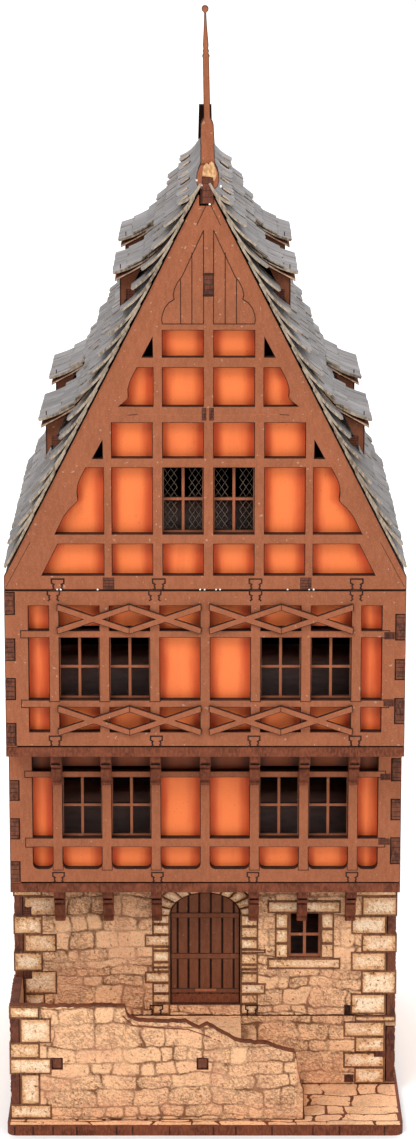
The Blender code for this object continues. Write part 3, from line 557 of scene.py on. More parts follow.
# --- facades --------------------------------------------------------------
def panel(shell, left, right, low, high, level, axes, origin, steps=9):
    """Painted panel between two upright curves: its shade rises with the distance to the nearer side, a
    painted shade of the recess behind the frame that falls darker on the right, and it swells out by a tenth
    of a millimetre like a sine in both directions."""
    t = np.linspace(0, 1, steps if callable(left) or callable(right) else 5)
    v = low + (high - low) * t
    a = left(t) if callable(left) else np.full(len(t), float(left))
    b = right(t) if callable(right) else np.full(len(t), float(right))
    s = np.concatenate([[0, 0.03, 0.08], np.linspace(0.15, 0.85, 8), [0.92, 0.97, 1]])
    u = a[None, :] + (b - a)[None, :] * s[:, None]
    # painted shade: darker near the frame where the recess shades the panel, more so on the right side
    near = np.minimum(u - a[None, :], (b[None, :] - u) * 0.8)
    shade = 0.1 + 0.85 * smooth(0.2, 4.8, near)
    bulge = 0.1 * np.sin(np.pi * s)[:, None] * np.sin(np.pi * t)[None, :]
    grid = np.stack([u, np.repeat(v[None, :], len(s), 0), level - bulge], -1)
    slab(shell, grid, level + 1.2, 0, 1, shade, axes, origin)


def window(shell, u0, u1, v0, v1, level, axes, origin, bar=1.05, thick=1.3):
    """Window light: a rectangle a little larger than the opening, less four rectangles that leave
    crossed bars between them, cut from one thin board."""
    us, vs = np.linspace(u0, u1, 3), np.linspace(v0, v1, 3)
    holes = []
    for i in range(2):
        for j in range(2):
            a = us[i] + (bar / 2 if i else 0.35)
            b = us[i + 1] - (0.35 if i else bar / 2)
            c = vs[j] + (bar / 2 if j else 0.6)
            d = vs[j + 1] - (0.2 if j else bar / 2)
            holes.append(rect(a, c, b, d))
    cut_board(shell, [rect(u0 - 0.6, v0 - 0.8, u1 + 0.6, v1 + 0.6)] + holes, level, level + thick, axes,
              origin, 0.12, (0, 1, 2))


def key(shell, u0, u1, v0, v1, level, axes, origin, width=0.46):
    """Outline of a jigsaw key: its sides are six corners given as shares of the width and the
    height, mirrored from left to right."""
    w, h = u1 - u0, v1 - v0
    sides = [(0.03, 0.0), (0.2, 0.16), (0.12, 0.36), (0.2, 0.5), (0.0, 0.62), (0.0, 1.0)]
    path = [(u0 + a * w, v0 + b * h) for a, b in sides]
    path += [(u1 - a * w, v0 + b * h) for a, b in sides[::-1]]
    score(shell, path, width, level, axes, origin)


def tenon(shell, u0, u1, v0, v1, level, axes, origin, finish=2):
    """End of a cross board: a rectangular block that stands out of the face, with three level cut
    marks that share its height evenly."""
    cut_board(shell, [rect(u0, v0, u1, v1)], level - TENON_OUT, level + 0.6, axes, origin, 0.18,
              (finish, 1, 1))
    for k in range(1, 4):
        v = v0 + (v1 - v0) * k / 4
        score(shell, [(u0 + 0.2, v), (u1 - 0.2, v)], 0.16, level - TENON_OUT, axes, origin, proud=0.03)


def zigzag(shell, u0, u1, v0, v1, level, thick, axes, origin):
    """Crossed kinked braces over two bays. Both bands run straight from each end to the middle of
    the other edge; a band of half width h and slope s is h sqrt(1 + s2) high and that over s
    wide where it is cut level, which gives the corners of the outline and of the hole."""
    um, vm = (u0 + u1) / 2, (v0 + v1) / 2
    quarter = (um - u0) / 2
    half = 1.0
    slope = (v1 - v0 - 2.0) / (um - u0)
    gap = half * math.sqrt(1 + slope * slope) / slope
    side = half * math.sqrt(1 + slope * slope)
    outer = [(u0, v1 - 0.2), (u0 - 0.1, v1 - 2 * side), (u0 + quarter - gap, vm), (u0 - 0.1, v0 + 2 * side),
             (u0, v0 + 0.2), (u0 + 0.4, v0), (u0 + quarter, vm - side), (um, v0), (um + quarter, vm - side),
             (u1 - 0.4, v0), (u1, v0 + 0.2), (u1 + 0.1, v0 + 2 * side), (um + quarter + gap, vm),
             (u1 + 0.1, v1 - 2 * side), (u1, v1 - 0.2), (u1 - 0.4, v1), (um + quarter, vm + side), (um, v1),
             (u0 + quarter, vm + side), (u0 + 0.4, v1)]
    hole = [(u0 + quarter + gap, vm), (um, v0 + 2 * side), (um + quarter - gap, vm), (um, v1 - 2 * side)]
    cut_board(shell, [outer, hole], level - thick, level, axes, origin, 0.25, (0, 1, 1))
    for a, b in ((v0, v0 + 2 * side), (v1 - 2 * side, v1)):
        score(shell, [(um, a + 0.1), (um, b - 0.1)], 0.22, level - thick, axes, origin)


def facade(name, body, axes, origin, outline, columns, rows, glazed, replaces, soft=0.0,
           braces=(), keys=(), slot_row=None, ends="burnt", painted_shadow_row=None, brace=1.25):
    """Timber wall: a framed board with openings, painted panels and window lights behind them,
    and scored joints on its face. Columns are spans of u, rows spans of v; glazed holds the
    (column, row) pairs that are windows."""
    frame_shell, paint_shell, painted_shadow_shell = Shell(), Shell(), Shell()
    holes = []
    for r, (v0, v1) in enumerate(rows):
        for u0, u1 in columns:
            rounded = soft and r == 0
            ring = soft_rect(u0, v0, u1, v1, soft, 4, True) if rounded else rect(u0, v0, u1, v1)
            holes.append(ring)
    cut_board(frame_shell, [outline] + holes, 0.0, BOARD, axes, origin, 0.2, (0, 1, 2))
    for r, (v0, v1) in enumerate(rows):
        for c, (u0, u1) in enumerate(columns):
            if (c, r) in glazed:
                window(frame_shell, u0, u1, v0, v1, BOARD + PANE_BACK, axes, origin)
            else:
                low = v0 - LAP
                if slot_row == r and (c, r - 1) in glazed:
                    low = v0 + 0.75
                # Panels of the shadow row take the dark orange, a painted shadow under the overhang above.
                shell = painted_shadow_shell if r == painted_shadow_row else paint_shell
                panel(shell, u0 - LAP, u1 + LAP, low, v1 + LAP, BOARD + PANEL_BACK, axes, origin)
    for u0, u1, v0, v1 in braces:
        zigzag(frame_shell, u0, u1, v0, v1, -0.05, brace, axes, origin)
    for u0, u1, v0, v1 in keys:
        key(frame_shell, u0, u1, v0, v1, 0.0, axes, origin)
    if painted_shadow_row is not None:
        painted_shadow_shell.piece(name + "_painted_shadow_panels", body, "painted_infill", ["orange_painted_shadow", "inner_painted_shade"])
    frame_shell.piece(name + "_timber", body, "timber_board", ["timber", ends, "inner_painted_shade"], replaces[0])
    paint_shell.piece(name + "_panels", body, "painted_infill", ["orange", "inner_painted_shade"], replaces[1])


def edge_ring(low, high, left, right, half=HALF, step=BOARD + FIT):
    """Outline of a front or back board with slots for the side boards' fingers."""
    grow = lambda spans: [(a - FIT, b + FIT) for a, b in spans]
    right_edge = comb(half, -step, low, high, grow(right))
    left_edge = comb(-half, step, low, high, grow(left))
    return right_edge + left_edge[::-1]


def side_ring(near, far, low, high, fingers):
    """Outline of a side board whose fingers reach the outer faces of the front and back boards;
    u is measured along the wall."""
    near_edge = comb(near + BOARD + FIT, -BOARD - FIT, low, high, fingers)
    far_edge = comb(far - BOARD - FIT, BOARD + FIT, low, high, fingers)
    return far_edge + near_edge[::-1]


# --- storeys --------------------------------------------------------------
COLUMNS = [(-54.3, -48.1), (-44.9, -32.6), (-29.4, -17.1), (-13.9, -1.6),
           (1.6, 13.9), (17.1, 29.4), (32.6, 44.9), (48.1, 54.3)]
GLAZED = (1, 2, 5, 6)
# Rows, fingers and stubs of each storey, as heights over its floor board in millimetres.
STOREYS = {
    "second": {
        "body": "second_floor", "front": FRONT_2, "low": SECOND_LOW, "top": SECOND_TOP, "base": SECOND_Z,
        "rows": [(8.0, 15.8), (18.2, 38.0), (40.3, 48.1)],
        "left": [(3.6, 10.5), (18.5, 24.9), (31.0, 37.5), (45.6, 52.2)],
        "right": [(10.8, 18.5), (24.9, 30.9), (37.5, 45.3)],
        "stubs": [(55.0, 58.3, 37.5, 39.9), (55.0, 58.3, 16.1, 18.5)],
    },
    "first": {
        "body": "first_floor", "front": FRONT_1, "low": FIRST_LOW, "top": FIRST_TOP, "base": FIRST_Z,
        "rows": [(7.9, 15.0), (18.0, 37.9), (40.0, 47.6)],
        "left": [(3.6, 10.0), (17.9, 24.2), (30.6, 36.7)],
        "right": [(9.7, 17.9), (24.2, 30.6), (37.0, 43.9)],
        "stubs": [(55.0, 58.3, 37.0, 39.2), (54.6, 58.3, 15.7, 17.9)],
    },
}


def lifted(spans, base):
    """Spans moved up by a height."""
    return [(base + a, base + b) for a, b in spans]


def side_columns(near, far):
    """Openings along a side wall and which of them are windows: pairs of windows share the wall
    evenly, and two narrow panels fill each gap."""
    count = max(2, int((far - near - 24.0) // 31.0))
    pitch = (far - near) / count
    spans, glazed = [], []
    for k in range(count):
        centre = near + pitch * (k + 0.5)
        start = near + WALL_EDGE if k == 0 else centre - pitch / 2 + POST / 2
        if centre - HALF_PANE - POST - start > 1.5:
            spans.append((start, centre - HALF_PANE - POST))
        glazed.append(len(spans))
        spans.append((centre - HALF_PANE, centre + HALF_PANE))
        end = far - WALL_EDGE if k == count - 1 else centre + pitch / 2 - POST / 2
        if end - centre - HALF_PANE - POST > 1.5:
            spans.append((centre + HALF_PANE + POST, end))
    return spans, glazed


def build_storey(name):
    """Four walls of a timber storey: each is one board less a grid of openings, given by column
    spans and row spans, with fingers at its ends."""
    s = STOREYS[name]
    base, low, top, near = s["base"], s["low"], s["top"], s["front"]
    rows = lifted(s["rows"], base)
    left, right = lifted(s["left"], base), lifted(s["right"], base)
    glazed = [(c, 1) for c in GLAZED]
    upper = name == "second"
    low_keys = [(u, u + 3.6, low, low + 3.3) for u in (-48.2, -16.9, 13.3, 44.6)]
    keys = low_keys + ([(u, u + 3.7, top - 3.2, top) for u in (-48.4, -17.3, 13.6, 44.5)] if upper else [])
    braces = []
    if upper:
        for v0, v1 in (rows[0], rows[2]):
            braces += [(-45.5, -1.2, v0 - 0.9, v1 + 0.9), (1.2, 45.5, v0 - 0.9, v1 + 0.9)]
    ring = edge_ring(low, top, left, right)
    front_nodes = (name + "_front_frame",)
    if upper:
        front_nodes += tuple("second_brace_%s_%s" % (a, b) for a in ("lower", "upper") for b in ("left",
                                                                                                 "right"))
    # The first storey's top row lies under the overhang and gets painted shadow panels.
    facade(name + "_front", s["body"], FRONT, (0, near, 0), ring, COLUMNS, rows, glazed,
           (front_nodes, (name + "_front_infill",)), 0.0 if upper else 1.7, braces, keys, 2,
           painted_shadow_row=None if upper else 2)
    turned = edge_ring(low, top, right, left)
    facade(name + "_back", s["body"], REAR, (0, BACK, 0), turned, COLUMNS, rows, glazed,
           ((name + "_back_wall",), ()), 0.0 if upper else 1.7, braces, low_keys, 2)
    for side, axes, fingers, x in (("right", RIGHT, right, HALF), ("left", LEFT, left, -HALF)):
        start, end = (near, BACK) if side == "right" else (-BACK, -near)
        spans, panes = side_columns(start, end)
        bays = []
        if upper:
            for a, b in zip(panes, panes[1:]):
                u0, u1 = spans[a][1] + POST - 0.4, spans[b][0] - POST + 0.4
                bays += [(u0, u1, rows[2][0] - 0.9, rows[2][1] + 0.9),
                         (u0, u1, rows[0][0] - 0.9, rows[0][1] + 0.9)]
        facade(name + "_" + side, s["body"], axes, (x, 0, 0), side_ring(start, end, low, top, fingers),
               spans, rows, [(c, 1) for c in panes], ((name + "_" + side + "_wall",), ()),
               0.0 if upper else 1.7, bays, (), 2, ends="end_face", brace=0.95)
    marks = Shell()
    for u0, u1, v0, v1 in s["stubs"]:
        tenon(marks, u0, u1, base + v0, base + v1, 0.0, FRONT, (0, near, 0), 0)
    for sign in (-1, 1):
        for v0, v1 in ((rows[0][1], rows[1][0]), (rows[1][1], rows[2][0])):
            a, b = sign * 54.3, sign * 56.7
            score(marks, [(a, v0), (b, v0), (b, v1), (a, v1)], 0.26, 0.0, FRONT, (0, near, 0))
        for u in (15.5, 31.0, 46.5):
            foot = rows[1][0] if upper else rows[0][0]
            a, b = sign * u - POST / 2, sign * u + POST / 2
            score(marks, [(a, foot + 2.4), (a, foot - 0.5), (b, foot - 0.5), (b, foot + 2.4)], 0.22, 0.0,
                  FRONT, (0, near, 0))
    for z in lifted(s["left"], base):
        for v in np.linspace(z[0] + 0.9, z[1] - 0.9, 4):
            score(marks, [(-HALF + 0.3, v), (-HALF + 2.8, v)], 0.2, 0.0, FRONT, (0, near, 0), proud=0.03)
    for z in lifted(s["right"], base):
        for v in np.linspace(z[0] + 0.9, z[1] - 0.9, 4):
            score(marks, [(HALF - 2.8, v), (HALF - 0.3, v)], 0.2, 0.0, FRONT, (0, near, 0), proud=0.03)
    marks.piece(name + "_joint_marks", s["body"], "scorched_board", ["burnt_end", "burnt"])


def build_corbels():
    """Stepped corbels under both jetties: an outline in depth and height, three millimetres thick."""
    for name, body, near, reach, top, drop, centres in (
            ("first_corbels", "first_floor", FRONT_1, FRONT_2 + 1.6, FIRST_TOP, 12.4,
             [BAY * k for k in range(-3, 4)]),
            ("ground_corbels", "ground_floor", FRONT_0, FRONT_1 + 1.6, GROUND_TOP, 13.5,
             [BAY * k for k in (-3, -2, -1, 1, 2, 3)])):
        shell = Shell()
        y = near - FIT
        run = y - reach
        outline = [(y, top), (y, top - drop), (y - 1.3, top - drop), (y - 1.5, top - drop + 0.9),
                   (y - 1.2, top - drop + 1.5), (y - run * 0.42, top - drop * 0.72),
                   (y - run * 0.45, top - drop * 0.5), (y - run * 0.4, top - drop * 0.46),
                   (y - run * 0.78, top - drop * 0.34), (y - run * 0.82, top - drop * 0.2),
                   (y - run, top - drop * 0.16), (y - run, top)]
        for centre in centres:
            cut_board(shell, [outline], -1.65, 1.65, np.array([[0, 1.0, 0], [0, 0, 1], [1, 0, 0]]),
                      (centre, 0, 0), 0.2, (0, 1, 0))
            for v in np.linspace(top - 3.4, top - drop + 1.0, 3):
                a = y - run * smooth(top - drop, top, v) - 0.2
                cut_board(shell, [rect(centre - 1.45, v, centre + 1.45, v + 0.22)], a - 0.35, a + 1.0,
                          FRONT, (0, 0, 0), 0.05, (2, 2, 2))
        shell.piece(name, body, "timber_board", ["plank", "plate_edge", "burnt"],
                    (name.replace("corbels", "corbel_rail"),))


# --- gable ----------------------------------------------------------------
GABLE_ROWS = [(4.6, 14.3), (17.5, 38.1), (41.2, 52.0), (57.1, 68.9), (72.2, 80.3)]
OGEE_LONG = ([0, 0.11, 0.267, 0.386, 0.455, 0.495, 0.52, 0.6, 0.7, 0.8, 0.9, 1.0],
             [1, 0.92, 0.815, 0.685, 0.58, 0.525, 0.52, 0.54, 0.535, 0.5, 0.43, 0.355])
OGEE_SHORT = ([0, 0.09, 0.17, 0.23, 0.28, 0.45, 0.65, 0.85, 1.0],
              [1, 0.86, 0.76, 0.715, 0.725, 0.73, 0.667, 0.556, 0.467])


def edge_x(z):
    """Half width of the gable at a height."""
    return PITCH_RUN * (APEX_Z - z)


def gable_openings():
    """Openings of the gable for the right half: (low, high, inner side, outer side as a function
    of the share of the height, kind)."""
    found = []
    for r, (a, b) in enumerate(GABLE_ROWS):
        low, high = ROOF_Z + a, ROOF_Z + b
        counts = (2, 2, 2, 1, 1)[r]
        for k in range(counts):
            found.append((low, high, BAY * k + 1.6, BAY * (k + 1) - 1.6,
                          "window" if (r, k) == (1, 0) else "panel"))
        if r == 0:
            found.append((low, high, 32.0, lambda t: 50.9 - 4.9 * t, "panel"))
        elif r == 1:
            found.append((low, high, 32.0, lambda t: 32.0 + 14.8 * np.interp(t, *OGEE_LONG), "panel"))
        elif r == 3:
            found.append((low, high, 16.8, lambda t: 16.8 + 10.3 * np.interp(t, *OGEE_SHORT), "panel"))
    return found


def gable_face(name, axes, origin, outline, replaces, shift):
    """Gable board with square, sloped and ogee openings, panels behind them and scored planks. A
    sloped or ogee side is its inner side plus a width times a share read off its height."""
    frame_shell, paint_shell = Shell(), Shell()
    holes = []
    for low, high, inner, outer, kind in gable_openings():
        t = np.linspace(0, 1, 25) if callable(outer) else np.array([0.0, 1.0])
        edge = outer(t) if callable(outer) else np.full(2, outer)
        for sign in (1, -1):
            ring = [(sign * inner + shift, high), (sign * inner + shift, low)]
            ring += [(sign * u + shift, low + (high - low) * s) for u, s in zip(edge, t)]
            holes.append(ring)
            if kind == "window":
                u0, u1 = sorted((sign * inner + shift, sign * outer + shift))
                window(frame_shell, u0, u1, low, high, BOARD + 0.35, axes, origin)
                for pane in (0, 1):
                    x0 = (u0 + 0.4, u1 - 4.4)[pane]
                    for start in (low + 0.9, (low + high) / 2 + 0.6):
                        tall = (high - low) / 2 - 1.6
                        for k in range(3):
                            v = start + tall * k / 3
                            for a, b in ((0, 1), (1, 0)):
                                cut = [(x0 + 2.0 * a, v), (x0 + 2.0 * b, v + tall / 3)]
                                score(frame_shell, cut, 0.11, BOARD + 0.9, axes, origin, proud=0.05, finish=3)
                                score(frame_shell,
                                      [(x0 + 4.0 - 2.0 * a, v), (x0 + 4.0 - 2.0 * b, v + tall / 3)],
                                      0.11, BOARD + 1.1, axes, origin, proud=0.05, finish=3)
            else:
                if callable(outer):
                    far = lambda s, o=outer: o(s) + 0.8
                else:
                    far = outer + 0.7
                if sign > 0:
                    a, b = inner - 0.7, far
                    a, b = a + shift, (lambda s, f=far: f(s) + shift) if callable(far) else far + shift
                else:
                    b = -(inner - 0.7) + shift
                    a = (lambda s, f=far: -f(s) + shift) if callable(far) else -far + shift
                panel(paint_shell, a, b, low - 0.7, high + 0.7, BOARD + 0.25, axes, origin, 25)
    for sign in (1, -1):
        holes.append([(sign * 16.9 + shift, 253.6), (sign * 16.9 + shift, 247.5),
                      (sign * 20.0 + shift, 247.5)])
        holes.append([(sign * 32.2 + shift, 222.0), (sign * 32.2 + shift, 216.3),
                      (sign * 35.2 + shift, 216.3)])
    cut_board(frame_shell, [outline] + holes, 0.0, BOARD, axes, origin, 0.2, (0, 1, 2))
    # Near-black card behind the gable board, seen through its small open holes: painted shade of the attic.
    cut_board(frame_shell, [[(-38, 214), (38, 214), (19, 258), (-19, 258)]], BOARD + 2.0, BOARD + 2.8, axes,
              origin, 0.1, (2, 2, 2))
    marks = Shell()
    c = shift
    for u, top in ((-8.4, 271.1), (-5.0, 279.2), (-1.5, 285.9), (1.5, 285.9), (5.0, 279.2), (8.4, 271.1)):
        score(marks, [(u + c, 257.6), (u + c, top)], 0.26, 0.0, axes, origin)
    for sign in (1, -1):
        arc = [(1.5, 285.9), (8.0, 271.9), (9.2, 270.4), (10.2, 268.3), (10.6, 266.4), (10.3, 265.1),
               (12.0, 264.0), (13.2, 262.4), (13.9, 260.4), (14.1, 258.9), (13.9, 257.6), (1.5, 257.6)]
        score(marks, [(sign * u + c, z) for u, z in arc], 0.26, 0.0, axes, origin)
        score(marks, [(c, 294.9), (sign * 3.6 + c, 287.4)], 0.2, 0.0, axes, origin)
        score(marks, [(sign * (edge_x(z) - 4.4) + c * 0.3, z) for z in (283.0, 186.0)], 0.12, 0.0, axes,
              origin,
              proud=0.02, finish=2)
        score(marks, [(c + sign * 1.8, 229.7), (c + sign * 21.5, 229.9)], 0.22, 0.0, axes, origin, proud=0.02,
              finish=2)
        score(marks, [(c + sign * 21.5, 229.9), (c + sign * 24.5, 229.7)], 0.2, 0.0, axes, origin, proud=0.03)
        score(marks, [(sign * 61.0, 176.3), (sign * 53.5, ROOF_Z + 15)], 0.16, 0.0, axes, origin, proud=0.02)
        tenon(marks, c * 0.6 + sign * 30.2 - 1.8, c * 0.6 + sign * 30.2 + 1.8, ROOF_Z + 0.2, ROOF_Z + 3.9,
              0.0, axes,
              origin, 0)
        tenon(marks, c - 0.2 + sign * 1.15 - 0.75, c - 0.2 + sign * 1.15 + 0.75, 228.0, 232.0, 0.0, axes,
              origin, 0)
        for u in (14.8, 45.8):
            key(marks, c * 0.6 + sign * u - 1.9, c * 0.6 + sign * u + 1.9, ROOF_Z, ROOF_Z + 3.4, 0.0, axes,
                origin)
    tenon(marks, c - 1.45, c + 1.45, 266.5, 272.5, 0.0, axes, origin, 0)
    for v in (266.3, 272.7):
        score(marks, [(c - 1.7, v), (c + 1.7, v)], 0.7, 0.0, axes, origin, proud=0.16)
    for u in (-45.6, -44.5, -33.2, -1.8, -0.4, 3.1, 4.3, 25.0, 31.6, 33.0):
        cut_board(marks, [soft_rect(u, ROOF_Z - 0.15, u + 0.5, ROOF_Z + 0.35, 0.18)], -0.12, 0.2, axes,
                  origin, 0.08,
                  (3, 3, 3))
    frame_shell.piece(name + "_timber", "roof", "timber_board", ["timber", "burnt", "inner_painted_shade", "lead"],
                      replaces[0])
    paint_shell.piece(name + "_panels", "roof", "painted_infill", ["orange", "inner_painted_shade"], replaces[1])
    marks.piece(name + "_joint_marks", "roof", "scorched_board",
                ["burnt_end", "burnt", "timber_pale", "glue"])


def build_gables():
    """Front and back gables: a triangle of fixed pitch over a low rectangle, with a slot or a
    stub at its tip."""
    half, shoulder = BOARD / 2 + FIT, APEX_Z - 4.4
    right = [(HALF, ROOF_Z), (HALF, EAVE_Z), (edge_x(shoulder), shoulder), (half, shoulder),
             (half, APEX_Z - 7.6)]
    ring = right + [(-u, v) for u, v in right[::-1]]
    gable_face("gable_front", FRONT, (0, FRONT_2, 0), ring, (("gable_front_frame",), ("gable_front_infill",)),
               GABLE_SHIFT)
    neck = APEX_Z - 3.0
    right = [(HALF, ROOF_Z), (HALF, EAVE_Z), (edge_x(neck), neck), (edge_x(neck), neck + 1.6),
             (2.4, neck + 1.6),
             (2.1, APEX_Z + 10.0)]
    ring = right + [(-u, v) for u, v in right[::-1]]
    gable_face("gable_back", REAR, (0, BACK, 0), ring, (("gable_back_wall",), ()), 0.0)


# --- roof -----------------------------------------------------------------
def straight_slope(d, o):
    """Point on the main slope: distance down from the ridge plus an offset along its normal."""
    return (PITCH_RUN / SLOPE * d + o / SLOPE, APEX_Z - d / SLOPE + PITCH_RUN / SLOPE * o)


def bent_slope(points):
    """Same for a bent line through points: arc length along it, offset along its turned tangent."""
    line = np.array(points, float)
    lengths = np.concatenate([[0], np.cumsum(np.linalg.norm(np.diff(line, axis=0), axis=1))])

    def at(d, o):
        x, z = np.interp(d, lengths, line[:, 0]), np.interp(d, lengths, line[:, 1])
        fx = np.interp(d + 0.5, lengths, line[:, 0]) - np.interp(d - 0.5, lengths, line[:, 0])
        fz = np.interp(d + 0.5, lengths, line[:, 1]) - np.interp(d - 0.5, lengths, line[:, 1])
        size = np.maximum(np.hypot(fx, fz), 1e-6)
        return x - fz / size * o, z + fx / size * o
    return at, lengths[-1]


def slate_course(shell, at, start, end, y0, y1, sign, seed, foot, lift, thick, power, jitter=0.8, width=6.0,
                 limit=1e9):
    """One course of slates. Each slate is a bent plank: its underside stands off the slope by
    foot + lift a^power, where a runs from 0 at its head to 1 at its tail, its tail is moved by a
    random amount, and it ends a hair before the next slate."""
    rng = np.random.default_rng(seed)
    cuts = [y0]
    while cuts[-1] < y1 - width * 0.7:
        cuts.append(min(cuts[-1] + width * rng.uniform(0.7, 1.35), y1))
    cuts[-1] = y1
    lows, highs = np.array(cuts[:-1]) + 0.07, np.array(cuts[1:]) - 0.07
    n = len(lows)
    tails = np.minimum(end + rng.uniform(-jitter, jitter, n), limit)
    a = np.linspace(0, 1, 6)
    d = start + (tails[:, None] - start) * a[None, :]
    under = foot + lift * a[None, :] ** power + rng.uniform(-0.08, 0.12, n)[:, None] * a[None, :]
    points = np.zeros((n, 6, 2, 2, 3))
    for layer, offset in ((0, under + thick), (1, under)):
        x, z = at(d, offset)
        for side, y in ((0, lows), (1, highs)):
            points[:, :, side, layer, 0] = sign * x
            points[:, :, side, layer, 1] = y[:, None]
            points[:, :, side, layer, 2] = z
    index = np.arange(24).reshape(6, 2, 2)
    near, far = slice(None, -1), slice(1, None)
    top = np.stack([index[near, 0, 0], index[far, 0, 0], index[far, 1, 0], index[near, 1, 0]], -1)
    low = np.stack([index[near, 0, 1], index[near, 1, 1], index[far, 1, 1], index[far, 0, 1]], -1)
    front = np.stack([index[near, 0, 0], index[near, 0, 1], index[far, 0, 1], index[far, 0, 0]], -1)
    back = np.stack([index[near, 1, 0], index[far, 1, 0], index[far, 1, 1], index[near, 1, 1]], -1)
    ends = np.array([[index[0, 0, 0], index[0, 1, 0], index[0, 1, 1], index[0, 0, 1]],
                     [index[5, 0, 0], index[5, 0, 1], index[5, 1, 1], index[5, 1, 0]]])
    faces = np.concatenate([top, low, front, back, ends])
    marks = np.repeat([0, 3, 2, 2, 1], [5, 5, 5, 5, 2])
    if sign < 0:
        faces = faces[:, ::-1]
    everything = (faces[None] + 24 * np.arange(n)[:, None, None]).reshape(-1, 4)
    shade = np.repeat(rng.uniform(0.2, 1.0, n), 24)
    shell.add(points.reshape(-1, 3), everything, list(np.tile(marks, n)), shade=shade)


SLATE_LENGTH = 19.0
UPPER_SWEEP = [(7.6, 287.4), (13.0, 280.6), (17.9, 276.0), (22.8, 272.9), (27.6, 270.8)]
LOWER_SWEEP = [(29.6, 245.4), (34.5, 238.0), (39.4, 231.8), (45.0, 228.2), (50.4, 225.7)]


def build_roof(sizes):
    """Main slopes, dormer roofs and their trims. The tails of the courses lie at even distances
    down the slope and each head lies one slate length above its tail; dormer roofs do the same
    along a bent line."""
    courses, start = sizes.courses, 3.5
    end = (HALF - 1.3) * SLOPE / PITCH_RUN
    pitch = (end - start) / courses
    y0, y1 = BOX["roof_slope_left"][0][1], BOX["roof_slope_left"][1][1]
    for side, sign in (("left", -1), ("right", 1)):
        shell = Shell()
        for k in range(courses):
            tail = start + pitch * (k + 1)
            head = max(1.4, tail - SLATE_LENGTH)
            last = k == courses - 1
            share = min(1.0, (tail - head) / SLATE_LENGTH)
            lift = (0.7 if last else sizes.slate_lift) * (0.55 + 0.45 * share)
            lift *= float(np.interp(k, [8, 13], [1.0, 0.62]))
            slate_course(shell, straight_slope, head, tail, y0 + 0.05 * (k % 3), y1, sign,
                         100 * k + (sign > 0),
                         0.35, lift, sizes.slate_thick, 2.6, 0.25 if last else 0.75, 6.2, end)
        shell.piece("roof_slates_" + side, "roof", "roof_board",
                    ["slate", "tan_edge", "slate_side", "slate_under"], ("roof_slope_" + side,))
        tabs = Shell()
        for k, y in enumerate((-60.5, -38.0, -15.5, 7.0, 29.5, 52.0)):
            x, z = straight_slope(8.3 + 0.5 * (k % 2), 2.6)
            normal = np.array([sign / SLOPE, 0, PITCH_RUN / SLOPE])
            down = np.array([sign * PITCH_RUN / SLOPE, 0, -1 / SLOPE])
            tilt = 1 / math.hypot(1, 0.5)
            along, out = (down + 0.5 * normal) * tilt, (normal - 0.5 * down) * tilt
            axes = np.stack([along, np.array([0, 1.0, 0]), -out])
            cut_board(tabs, [rect(-1.3, -1.4, 1.5, 1.4)], -0.55, 1.0, axes, (sign * x, y, z), 0.3, (0, 0, 0))
            cut_board(tabs, [rect(-1.7, -1.8, 1.9, 1.8)], -0.3, 0.9, axes, (sign * x, y, z), 0.1, (1, 1, 1))
        tabs.piece("ridge_tabs_" + side, "roof", "scorched_board", ["tan_edge", "burnt"])
        for tier, sweep in (("upper", UPPER_SWEEP), ("lower", LOWER_SWEEP)):
            at, length = bent_slope(sweep)
            for place in ("front", "back"):
                node = "dormer_roof_%s_%s_%s" % (side, tier, place)
                lo, hi = BOX[node][0][1], BOX[node][1][1]
                cover = Shell()
                ends = (9.5, 15.5, 21.5, length)
                first = 7000 + 100 * (tier == "upper") + 50 * (place == "front") + (sign > 0)
                for k, tail in enumerate(ends):
                    slate_course(cover, at, max(0.0, tail - 12.0), tail, lo, hi, sign,
                                 first + 10 * k,
                                 -0.35, 1.0, 0.8, 1.4, 0.45 if k < 3 else 0.2, 5.4, length + 0.1)
                cut = [(sweep[1][0], sweep[1][1] - 1.5), (sweep[2][0], sweep[2][1] - 1.35),
                       (sweep[3][0], sweep[3][1] - 1.35), (sweep[4][0] - 0.3, sweep[4][1] - 1.35),
                       (sweep[4][0] - 0.3, sweep[4][1] - 2.25), (sweep[2][0], sweep[2][1] - 2.4),
                       (sweep[1][0], sweep[1][1] - 2.6)]
                cut_board(cover, [[(sign * u, z + 0.85) for u, z in cut]], lo + 0.2, hi - 0.2, FRONT,
                          (0, 0, 0), 0.15,
                          (1, 3, 1))
                cover.piece("dormer_slates_%s_%s_%s" % (side, tier, place), "roof", "roof_board",
                            ["slate", "tan_edge", "slate_side", "timber_dark"], (node,))
    for side, sign in (("left", -1), ("right", 1)):
        trim = Shell()
        for tier in ("upper", "lower"):
            for place in ("front", "back"):
                box = BOX["dormer_box_%s_%s_%s" % (side, tier, place)]
                face = max(abs(box[0][0]), abs(box[1][0]))
                foot = box[0][2]
                tenon(trim, sign * (face - 3.4) - 1.6, sign * (face - 3.4) + 1.6, foot + 3.2, foot + 6.4, 0.0,
                      FRONT,
                      (0, box[0][1], 0), 0)
                score(trim, [(sign * (face - 0.25), foot + 0.6), (sign * (face - 0.25), foot + 14.0)], 0.3,
                      0.0, FRONT,
                      (0, box[0][1], 0))
        trim.piece("dormer_trim_" + side, "roof", "scorched_board", ["burnt_end", "burnt"])
        eaves = Shell()
        axes = RIGHT if sign > 0 else LEFT
        u0, u1 = sorted((sign * (FRONT_2 + BOARD + FIT), sign * (BACK - BOARD - FIT)))
        cut_board(eaves, [rect(u0, ROOF_Z + 0.1, u1, EAVE_Z - 0.5)], 0.05, BOARD, axes, (sign * HALF, 0, 0),
                  0.2,
                  (0, 1, 2))
        for u in np.arange(u0 + 12.0, u1 - 8.0, 15.5):
            key(eaves, u, u + 3.6, ROOF_Z + 0.1, ROOF_Z + 3.2, 0.05, axes, (sign * HALF, 0, 0))
        eaves.piece("eaves_board_" + side, "roof", "timber_board", ["timber", "burnt", "inner_painted_shade"])


